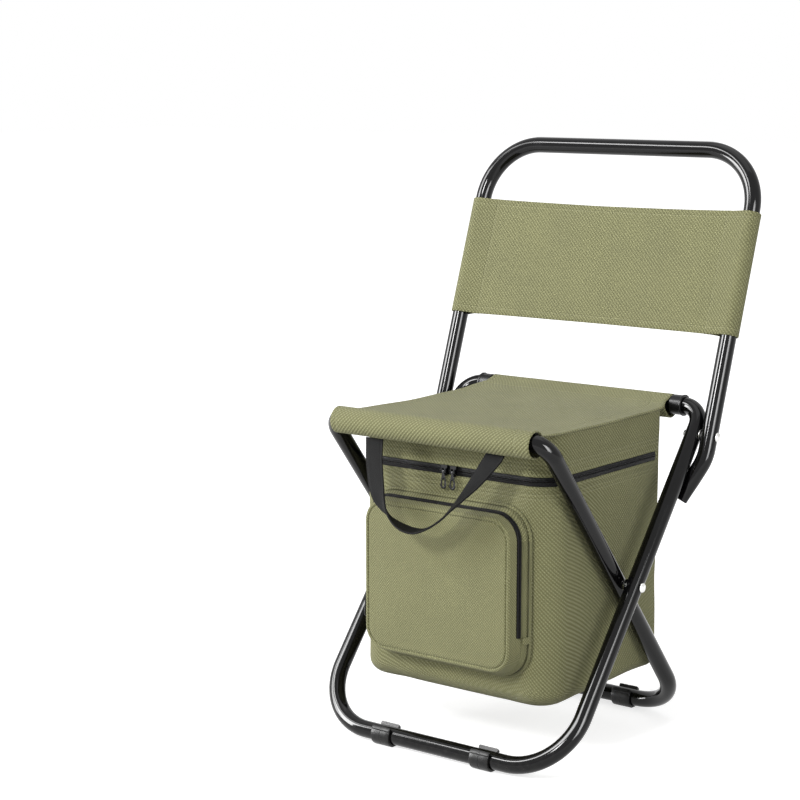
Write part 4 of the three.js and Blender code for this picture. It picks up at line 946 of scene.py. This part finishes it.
def free_share():
    """0 at the zip and behind the pocket, 1 where the wall may move."""
    x, y, z = OUTSIDE[..., 0], OUTSIDE[..., 1] - BAG_MIDDLE, OUTSIDE[..., 2]
    under_zip = 1 - steps(z, RIM_Z - 0.045, RIM_Z - 0.014)
    in_front = steps(-y, 0.088, 0.1)
    behind = in_front * (1 - steps(np.abs(x), 0.094, 0.108)) * steps(z, 0.074, 0.088)
    return under_zip * (1 - behind)

CLOTH_RUN = {
    "vertex_group_mass": "held", "mass": 0.004, "use_pressure": True, "uniform_pressure_force": 6,
    "tension_stiffness": 25, "compression_stiffness": 25, "bending_stiffness": 6,
}

def settled(points, free, frames=14):
    """Positions after a short cloth run with inner pressure, on a copy that is thrown away."""
    n, m = points.shape[:2]
    grid = points.copy()
    grid[0] = grid[0] * 0.97 + grid[1] * 0.03
    i, j = np.meshgrid(np.arange(n - 1), np.arange(m), indexing="ij")
    faces = np.stack([i * m + j, i * m + (j + 1) % m, (i + 1) * m + (j + 1) % m, (i + 1) * m + j], -1)
    mesh = bpy.data.meshes.new("settling")
    mesh.from_pydata(grid.reshape(-1, 3), [], faces.reshape(-1, 4))
    copy = bpy.data.objects.new("settling", mesh)
    bpy.context.scene.collection.objects.link(copy)
    held = copy.vertex_groups.new(name="held")
    for level in np.unique(np.round(1 - free, 1)):
        chosen = np.flatnonzero(np.round(1 - free.ravel(), 1) == level)
        held.add([int(k) for k in chosen], float(level), "REPLACE")
    cloth = copy.modifiers.new("settle", "CLOTH")
    for name, value in CLOTH_RUN.items():
        setattr(cloth.settings, name, value)
    cloth.point_cache.frame_end = frames
    scene = bpy.context.scene
    for frame_number in range(1, frames + 1):
        scene.frame_set(frame_number)
    result = copy.evaluated_get(bpy.context.evaluated_depsgraph_get()).data
    flat = np.empty(len(result.vertices) * 3, np.float32)
    result.vertices.foreach_get("co", flat)
    scene.frame_set(1)
    bpy.data.objects.remove(copy)
    bpy.data.meshes.remove(mesh)
    return flat.reshape(n, m, 3).astype(float)

free = free_share()
SAG = settled(OUTSIDE, free) - OUTSIDE
SAG *= free[..., None]
SAG[0] = SAG[1].mean(axis=0)
length = np.linalg.norm(SAG, axis=-1)
SAG *= min(1, SAG_CAP / length.max())
bulge = (SAG[-WALL_ROWS:, :, :2] * outward(BAG)).sum(axis=-1)
print("movement in mm before it is scaled, and mean bulge after:", (1000 * length.max()).round(1),
      (1000 * bulge.mean()).round(2))

def limp(made):
    """Gives the piece a mesh of its own."""
    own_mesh(made)
    return made

def zip_side(shape_y):
    """1 round the front and sides, where the zip runs, and 0 across the rear."""
    return 1 - steps(shape_y, BAG_MIDDLE + 0.0835, BAG_MIDDLE + 0.0865)

BAG_OUT, BAG_LINE = np.pad(outward(BAG), ((0, 0), (0, 1))), at_height(plan(BAG, 0), 0)
HEMS = (0.0024, 0.0085, 0.0125)

def tub_layer(outer_depth, inner_depth, channel=False):
    """Outer surface up and inner surface down, both moved by the sag. A channel under the rim takes the
    zip."""
    outer, inner = tub_surface(outer_depth) + SAG, tub_surface(inner_depth) + SAG
    if channel:
        under_tape = RIM_Z - TAPE
        rows = [(-0.0045, 0), (-0.0036, 0.0004), (-0.0012, 0.0005), (-0.0003, 0.0002), (-0.0002, -0.0012),
                (TAPE, -0.0012)]
        mask = zip_side(BAG_LINE[:, 1])[:, None]
        keep = outer[outer[:, 0, 2] < under_tape - 0.006]
        extra = [BAG_LINE + (0, 0, under_tape + rise) + BAG_OUT * push * mask for rise, push in rows]
        outer = np.concatenate([keep, np.stack(extra)])
    return skin(np.concatenate([outer, inner[::-1]]), round_v=True, sharp=50)

BAG_CLOTH = olive_cloth("olive_bag_cloth", [("z", RIM_Z - TAPE - hem) for hem in HEMS])
TUB_LAYERS = [
    ("cloth", 0.0, CLOTH, BAG_CLOTH, "olive_fabric", "shell"),
    ("padding", 0.0018, 0.0068, FOAM_FINISH, "white_foam", "foam"),
    ("foil", 0.0071, 0.0079, FOIL_FINISH, "silver_liner", "liner"),
]
for word, outside, inside, finish, slot, part in TUB_LAYERS:
    layer = tub_layer(outside, inside, channel=word == "cloth")
    limp(piece(f"cooler_tub_{word}", layer, "cooler_tub", finish, slot, f"cooler_tub_{part}"))
print("tub layers made:", len(TUB_LAYERS))

# %% [markdown]
# ## Lid wall and lid plate
# The bag's lid is the seat itself. A short wall of cloth is sewn to the seat's edge and ends in the
# zip, and a plate of foam with foil below it hangs under the seat. The wall leans in at its top to meet
# the narrower seat.

# %% Lid
LID_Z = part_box("cooler_lid_band")[0][2]
LID_WALL = 0.03
PLATE_INSET = 0.0056

def lid_wall(depth, channel):
    """Rows from the zip to just under the seat. x shrinks towards the seat's edge, and each column ends
    at its own height, which follows the sag."""
    outline = plan(BAG, depth)
    y = outline[:, 1] + BAG_MIDDLE
    fit = (seat_half(y) - 0.0004 - depth) / (BAG["half_x"] - depth)
    over = seat_top(y) - CLOTH - GAP - LID_Z - LID_WALL

    def row(share, push, z):
        narrow = np.column_stack([1 + (fit - 1) * share, np.ones(len(fit))])
        return at_height(outline * narrow + outward(BAG) * push * zip_side(y)[:, None], z)

    rises = np.concatenate([[0], TAPE + np.array([0.0002, 0.0003, 0.0012, 0.0036, 0.0045]),
                            np.linspace(TAPE + 0.007, LID_WALL, 10)])
    pushes = np.array([-0.0012, -0.0012, 0.0002, 0.0005, 0.0004, 0] + [0] * 10) * channel
    rows = [row(steps(rise, 0.006, LID_WALL), push, LID_Z + rise) for rise, push in zip(rises, pushes)]
    rows += [row(1, 0, LID_Z + LID_WALL + over * share) for share in np.linspace(0, 1, 10)[1:]]
    return np.stack(rows)

LID_CLOTH = olive_cloth("olive_lid_cloth", [("z", LID_Z + TAPE + hem) for hem in HEMS])
lid_grid = np.concatenate([lid_wall(0.0, True), lid_wall(CLOTH, False)[::-1]])
lid_skin = skin(lid_grid, round_u=True, round_v=True, sharp=50)
limp(piece("cooler_lid_cloth", lid_skin, "cooler_lid", LID_CLOTH, "olive_fabric", "cooler_lid_band"))

def plate(node_name, crown):
    """From the middle of the underside, which hangs by crown·(1 − share²), out to a rounded rim and back
    over the top."""
    low, high = (corner[2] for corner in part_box(node_name))
    half, level = (high - low) / 2, (low + high) / 2
    flat, shares = plan(BAG, PLATE_INSET + half), (0, 0.3, 0.6, 0.85, 1)
    rows = [at_height(flat * share, level - half - crown * (1 - share ** 2)) for share in shares]
    rows += [at_height(plan(BAG, PLATE_INSET + half - half * np.cos(a)), level + half * np.sin(a))
             for a in np.linspace(-np.pi / 2, np.pi / 2, 7)[1:-1]]
    rows += [at_height(flat * share, level + half) for share in shares[::-1]]
    return skin(np.stack(rows), round_v=True)

LID_LAYERS = [
    ("padding", 0, FOAM_FINISH, "white_foam", "foam"),
    ("foil", 0.0015, FOIL_FINISH, "silver_liner", "liner"),
]
for word, crown, finish, slot, part in LID_LAYERS:
    node_name = f"cooler_lid_{part}"
    limp(piece(f"cooler_lid_{word}", plate(node_name, crown), "cooler_lid", finish, slot, node_name))
print("lid wall rows:", len(lid_grid))

# %% [markdown]
# ## Zips
# The zip runs round the front and both sides in a channel between the two hems. A tape is a flat strip
# with a round coil along the edge that meets the other tape. It is one section carried along the
# outline.

# %% Zip tapes
def carried(path, out, up, section):
    """Ring = path + out·s₁ + up·s₂ for each section point s, with both ends closed at their middles."""
    section = np.array(section, float)
    grid = path[:, None] + out[:, None] * section[None, :, :1] + np.array(up) * section[None, :, 1:]
    ends = [np.broadcast_to(grid[k].mean(axis=0), (1, *grid[k].shape)) for k in (0, -1)]
    return skin(np.concatenate([ends[0], grid, ends[1]]), round_v=True, sharp=50)

def tape_section(height, side):
    """A strip of the given height, with the coil's half round at the edge that side names."""
    a = np.linspace(-0.4 * np.pi, 0.5 * np.pi, 7)
    coil = np.stack([0.0001 + 0.0007 * np.cos(a), height - 0.0008 + 0.0008 * np.sin(a)], axis=1)
    strip = [(-0.0007, height), (-0.0007, 0.0001), (0.0, 0.0001), (0.0002, 0.0004),
             (0.0002, height - 0.0019)]
    section = np.concatenate([strip, coil])
    return section if side > 0 else section * (1, -1) + (0, height)

def open_run(outline, out, inside, start, stop):
    """The points of a closed outline that pass a test, in one unbroken run, between two exact ends."""
    first = int(np.flatnonzero(inside & ~np.roll(inside, 1))[0])
    order = np.roll(np.arange(len(outline)), -first)[:inside.sum()]
    points, ways = outline[order], out[order]
    return np.concatenate([[start], points, [stop]]), np.concatenate([ways[:1], ways, ways[-1:]])

zip_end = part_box("cooler_zip_lower")[1][1]
zip_path, zip_out = open_run(BAG_LINE, BAG_OUT, BAG_LINE[:, 1] < zip_end, (-BAG["half_x"], zip_end, 0),
                             (BAG["half_x"], zip_end, 0))
for part, body, side in (("lower", "cooler_tub", 1), ("upper", "cooler_lid", -1)):
    node_name = f"cooler_zip_{part}"
    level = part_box(node_name)[0][2]
    tape = carried(zip_path + (0, 0, level), zip_out, (0, 0, 1), tape_section(TAPE, side))
    limp(piece(f"{node_name}_tape", tape, body, ZIP_TAPE, "black_tape", node_name))
print("zip length in mm:", round(1000 * lengths(zip_path)[-1]))

# %% [markdown]
# ## Zip pulls
# Each slider holds a drop-shaped pull with a slot. The outline of the drop and the outline of the slot
# have the same number of points, so a rounded section joins them like the rim of a plate.

# %% Zip pulls
PULL_DROP, PULL_ROUND, PULL_HALF = -0.0146, 0.0037, 0.0007
NECK_HALF, NECK_END = 0.0013, -0.0026
SLOT_ROUND, SLOT_RUN = 0.0015, 0.0040

def drop_outline(count):
    """A half circle at the foot, straight sides that narrow to the neck, a round top about the axis."""
    foot = arc((0, PULL_DROP), PULL_ROUND, -180, 0, 25)
    top = arc((0, 0), NECK_HALF, 20, 160, 9) * (1, 0.54)
    corners = np.concatenate([foot, [(NECK_HALF, NECK_END)], top, [(-NECK_HALF, NECK_END)], foot[:1]])
    run = lengths(corners)
    even = np.linspace(0, run[-1], count, endpoint=False)
    return np.stack([np.interp(even, run, axis) for axis in corners.T], axis=1)

def pull_mesh(pivot, out, count=72):
    """Rows go from the outer edge over the front to the slot and back, each between the two outlines."""
    outer = drop_outline(count)
    hole = arc((0, PULL_DROP), SLOT_ROUND, -180, 180, count + 1)[:-1]
    hole[:, 1] += SLOT_RUN * (hole[:, 1] > PULL_DROP)
    rows = [(0, 0), (0.03, 0.6), (0.12, 0.92), (0.3, 1), (0.75, 1), (0.93, 0.85), (1, 0.4), (1, -0.4),
            (0.93, -0.85), (0.75, -1), (0.3, -1), (0.12, -0.92), (0.03, -0.6)]
    out = unit(np.array(out, float))
    across = unit(np.cross((0, 0, 1), out))
    grid = []
    for share, lift in rows:
        flat = outer * (1 - share) + hole * share
        rise = flat[:, 1:] * (0, 0, 1) + PULL_HALF * lift * out
        grid.append(np.array(pivot) + flat[:, :1] * across + rise)
    return skin(np.stack(grid), round_u=True, round_v=True, sharp=70)

PULLS = {
    "zip_pull_left": ((-0.0054, -0.12824, 0.28103), (0, -1, 0)),
    "zip_pull_right": ((0.0054, -0.12824, 0.28103), (0, -1, 0)),
    "pocket_pull": ((-0.09416, -0.13788, 0.1425), (-0.9506, -0.3104, 0)),
}
for node_name, (pivot, out) in PULLS.items():
    limp(piece(f"{node_name}_tab", pull_mesh(pivot, out), f"{node_name}_body", ZIP_METAL, "zip_metal",
               node_name))
print("pulls made:", len(PULLS))

# %% [markdown]
# ## Front pocket
# The pocket is a padded tray on the bag's front. Its face has a stitch groove just inside a rounded
# edge, and its walls lean out to a wider base. From the base outwards come a piping cord, a strip of
# cloth, the zip, and the tray, which carries the wall on down below the zip's ends. Sizes here are
# across, up, and out of the bag.

# %% Pocket shapes
FRONT_Y = BAG_MIDDLE - BAG["half_y"]
PROUD, WALL_LEAN, PILLOW = 0.0245, 0.008, 0.0014
ZIP_STOP = 0.132 - POCKET_Z
REAR_TAPE, FRONT_TAPE, TAPE_WIDTH = 0.0102, 0.0129, 0.0024
CORD, CORD_MIDDLE = 0.0014, 0.0017

def lean(h):
    """Inset of the pocket's wall at a height h over the bag: −WALL_LEAN·(1 − h/PROUD), so it is below
    zero where the wall stands outside the face."""
    return -WALL_LEAN * (1 - h / PROUD)

def out_of_bag(flat, h):
    """From across and up on the bag's front, with a height over it, to the room."""
    h = np.broadcast_to(h, flat.shape[:-1])
    return np.stack([flat[..., 0], FRONT_Y - h, POCKET_Z + flat[..., 1]], axis=-1)

def pocket_ring(section):
    """A closed ring round the pocket. Each section point is a height and a distance outside the wall."""
    rows = [out_of_bag(plan(POCKET, lean(h) - proud), h) for h, proud in section]
    return skin(np.stack(rows), round_u=True, round_v=True, sharp=60)

PIPING = [(CORD_MIDDLE + CORD * np.sin(a), CORD_MIDDLE + CORD * np.cos(a))
          for a in np.linspace(0, 2 * np.pi, 17)[:-1]]
GUSSET = [(0.0003, 0.0), (0.0012, 0.0002), (0.0030, -0.0004), (0.0044, -0.0003), (0.0054, 0.0009),
          (0.0062, 0.0016), (0.0070, 0.0017), (0.0078, 0.0010), (0.0088, 0.0003), (0.0099, 0.0),
          (0.0099, -0.0012), (0.0072, -0.0014), (0.0034, -0.0017), (0.0003, -0.0013)]
POCKET_CLOTH = olive_cloth("olive_pocket_wall_cloth", pitch=0.0030, depth=0.0005)
for part, word, section in (("piping", "cord", PIPING), ("gusset", "cloth", GUSSET)):
    limp(piece(f"pocket_{part}_{word}", pocket_ring(section), "cooler_tub", POCKET_CLOTH, "olive_fabric",
               f"pocket_{part}"))
    print("section points of the", part, len(section))

# %% Pocket panel
FACE_INSET, PADDING = 0.010, 0.0026

def panel_grid():
    """From the middle of the face out over a shallow pillow, the stitch groove and the rounded edge, down
    the wall, then back inside. Below the zip's ends the wall goes deeper."""
    foot = np.where(plan(POCKET, 0)[:, 1] > ZIP_STOP, 0.0156, REAR_TAPE)
    edge = PROUD - 0.0032

    def face(share, h):
        return out_of_bag(plan(POCKET, FACE_INSET) * share, h)

    def ring(inset, h):
        return out_of_bag(plan(POCKET, inset), h)

    def wall(depth, share):
        h = edge + (foot - edge) * share
        away = outward(POCKET) * (lean(edge) - lean(h))[:, None]
        return out_of_bag(plan(POCKET, lean(edge) + depth) + away, h)

    rows = [face(share, PROUD + PILLOW * (1 - share ** 4))
            for share in (0, 0.2, 0.4, 0.55, 0.7, 0.82, 0.91, 0.97, 1)]
    groove = ((0.0070, 0), (0.0046, 0), (0.0040, -0.0004), (0.0034, -0.0013), (0.0028, -0.0003),
              (0.0022, 0.0002))
    rows += [ring(inset, PROUD + rise) for inset, rise in groove]
    rows += [ring(lean(edge) + 0.0028 * (1 - np.cos(a)), edge + 0.0034 * np.sin(a))
             for a in np.linspace(np.pi / 2, 0, 9)[1:]]
    rows += [wall(0, share) for share in (0.35, 0.7, 1)] + [wall(CLOTH, share) for share in (1, 0.5, 0)]
    rows += [ring(0.005, PROUD - 0.003), ring(FACE_INSET, PROUD - PADDING)]
    rows += [face(share, PROUD - PADDING) for share in (0.8, 0.5, 0)]
    return np.stack(rows)

PANEL = panel_grid()
down_wall = np.maximum(PROUD - FRONT_Y + PANEL[..., 1] - PILLOW, 0)[..., None] * outward(POCKET)
across_up = np.stack([PANEL[..., 0], PANEL[..., 2]], axis=-1) + down_wall
panel_uv = np.concatenate([across_up, across_up[:, :1]], axis=1)
PANEL_CLOTH = olive_cloth("olive_pocket_face_cloth", pitch=0.0030, depth=0.0005)
panel = limp(piece("pocket_panel_cloth", skin(PANEL, round_v=True, uv=panel_uv, sharp=60), "pocket_front",
                   PANEL_CLOTH, "olive_fabric", "pocket_panel"))
print("panel rows and columns:", PANEL.shape[:2])

# %% Pocket zip and its end tabs
def pocket_strip(h, side):
    """One tape of the pocket's zip, from one stop over the top to the other, on the leaning wall."""
    outline = plan(POCKET, lean(h))
    inside = outline[:, 1] > ZIP_STOP
    half = outline[:, 0].max()
    path, ways = open_run(outline, outward(POCKET), inside, (half, ZIP_STOP), (-half, ZIP_STOP))
    path = out_of_bag(path, h)
    ways = np.column_stack([ways[:, 0], np.zeros(len(ways)), ways[:, 1]])
    return carried(path, ways, (0, -1, 0), tape_section(TAPE_WIDTH, side))

POCKET_TAPES = [("rear", REAR_TAPE, 1, "cooler_tub"), ("front", FRONT_TAPE, -1, "pocket_front")]
for part, h, side, body in POCKET_TAPES:
    limp(piece(f"pocket_zip_{part}_tape", pocket_strip(h, side), body, ZIP_TAPE, "black_tape",
               f"pocket_zip_{part}"))

def end_tab(side):
    """A folded scrap of cloth over the zip's end: a small slab across the gusset, below the zip."""
    h = np.linspace(0.0022, 0.0098, 12)
    up = ZIP_STOP + np.linspace(-0.0066, -0.0006, 6)
    wall = POCKET["half_x"] - lean(h) + 0.0022
    flat = np.stack(np.broadcast_arrays(side * wall[:, None], up[None]), axis=-1)
    return slab(out_of_bag(flat, h[:, None]), 0.0011)

for side, word in SIDES:
    limp(piece(f"pocket_zip_tab_{word}", end_tab(side), "cooler_tub", POCKET_CLOTH, "olive_fabric"))
print("end tabs:", len(SIDES))

# %% [markdown]
# ## Carrying strap
# A strap of black webbing hangs in a loop from the front roll. Its width turns as it falls, so one
# branch is seen on its face and the other nearly on its edge. The middle line is a smooth curve, and
# the width is swung about the vertical by an angle that changes along it.

# %% Carrying strap
# Across, out, down and swing. The swing takes the same scale as the way across, to be spaced with it.
ROUTE = np.array([
    [-1, 0, 0, 0], [-0.93, 0.24, 0.33, -0.03], [-0.74, 0.62, 0.68, -0.11], [-0.38, 0.88, 0.94, -0.32],
    [0, 1, 1, -0.42], [0.32, 0.96, 0.85, -0.38], [0.56, 0.8, 0.62, -0.3], [0.8, 0.42, 0.32, -0.13],
    [1, 0, 0, 0],
])
STRAP_HALF, STRAP_OUT, STRAP_DROP = 0.072, 0.026, 0.078
STRAP_WIDTH, STRAP_THICK, STRAP_BOW = 0.0202, 0.0016, 0.0006
strap_top = FRONT_MIDDLE[1] - FRONT_ROLL / 2 - GAP - 0.0007
four = curve_through(ROUTE * (STRAP_HALF, STRAP_OUT, STRAP_DROP, STRAP_HALF), 150)
line = np.stack([four[:, 0], FRONT_MIDDLE[0] - four[:, 1], strap_top - four[:, 2]], axis=1)
way = unit(np.gradient(line, axis=0))
way[0], way[-1] = (0, 0, -1), (0, 0, 1)
swing = np.pi * four[:, 3] / STRAP_HALF
wide = np.stack([np.cos(swing), np.sin(swing), 0 * swing], axis=1)
wide = unit(wide - way * (wide * way).sum(axis=1, keepdims=True))
v = np.linspace(-0.5, 0.5, 9)[None, :, None] * STRAP_WIDTH
bow = STRAP_BOW * (1 - (2 * v / STRAP_WIDTH) ** 2)
strap_mid = line[:, None] + v * wide[:, None] + bow * np.cross(way, wide)[:, None]
strap = piece("carry_strap", slab(strap_mid, STRAP_THICK, lip=0.25), "handle", WEBBING, "black_webbing",
              "carry_handle")
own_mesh(strap)
print("strap length in mm:", round(1000 * lengths(line)[-1]))

# %% [markdown]
# ## Finishes for the CAD nodes that stay
# The zip sliders and the plugs inside the tubes are right as they are in the CAD model. They keep their
# shapes and take the finishes made above.

# %% CAD nodes
for name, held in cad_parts.items():
    finish = ZIP_METAL if "slider" in name else ZINC if "splice" in name else None
    if finish is not None:
        held.data.materials.clear()
        held.data.materials.append(finish)
for name in ("zip_slider_left", "zip_slider_right", "pocket_slider"):
    limp(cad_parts[name])
print("CAD nodes shown:", [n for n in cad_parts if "slider" in n or "splice" in n])

# %% [markdown]
# ## Floor and world
# The floor is a wide pale sheet that takes the stool's shadow. It is lit like anything else, and adds
# some light of its own for the camera, more with the distance from the stool, so that it comes out
# white around the shadow. The world is pale to the camera and to reflections, which gives the tubes
# their white edges, and dim otherwise.

# %% Floor and world
FLOOR_HALF = 14
WORLD_LIGHT = 0.42

def floor_finish():
    """Diffuse white, plus a glow that only camera and reflected rays see."""
    material, tree, shader = surface("pale_floor", 0.9, Specular_IOR_Level=0.0)
    place = node(tree, "TexCoord").outputs["Object"]
    faint = node(tree, "TexNoise", {"Vector": place, "Scale": 3.0, "Detail": 2.0}).outputs["Fac"]
    pale = blend_colour(tree, faint, (0.6, 0.6, 0.6, 1), (0.62, 0.62, 0.62, 1))
    tree.links.new(pale, shader.inputs["Base Color"])
    rays = node(tree, "LightPath")
    seen = calc(tree, "MAXIMUM", rays.outputs["Is Camera Ray"], rays.outputs["Is Glossy Ray"])
    away = node(tree, "VectorMath", (place,), operation="LENGTH").outputs["Value"]
    share = span(tree, away, 0.45, 1.5, 0.7, 1.0)
    strength = calc(tree, "MULTIPLY", seen, share)
    glow = node(tree, "Emission", {"Color": (1, 1, 1, 1), "Strength": strength})
    both = node(tree, "AddShader", (shader.outputs[0], glow.outputs[0]))
    tree.links.new(both.outputs[0], tree.nodes["Material Output"].inputs["Surface"])
    return material

edge = np.linspace(-1, 1, 41)
edge = np.sign(edge) * np.abs(edge) ** 2 * FLOOR_HALF
gx, gy = np.meshgrid(edge, edge, indexing="ij")
floor_mesh = skin(np.stack([gx, gy, 0 * gx], axis=-1)[:, ::-1], closed=False)
floor = bpy.data.objects.new("floor", floor_mesh)
floor_mesh.materials.append(floor_finish())
bpy.context.scene.collection.objects.link(floor)

world = bpy.data.worlds.new("studio")
world.use_nodes = True
bpy.context.scene.world = world
air = world.node_tree
rays = node(air, "LightPath")
clear = calc(air, "MAXIMUM", rays.outputs["Is Camera Ray"],
             calc(air, "MAXIMUM", rays.outputs["Is Glossy Ray"], rays.outputs["Is Transmission Ray"]))
strength = span(air, clear, 0, 1, WORLD_LIGHT, 1.0)
air.links.new(strength, air.nodes["Background"].inputs["Strength"])
air.nodes["Background"].inputs["Color"].default_value = (1, 1, 1, 1)
bpy.context.scene.view_settings.view_transform = "Standard"
print("floor side in m:", 2 * FLOOR_HALF)
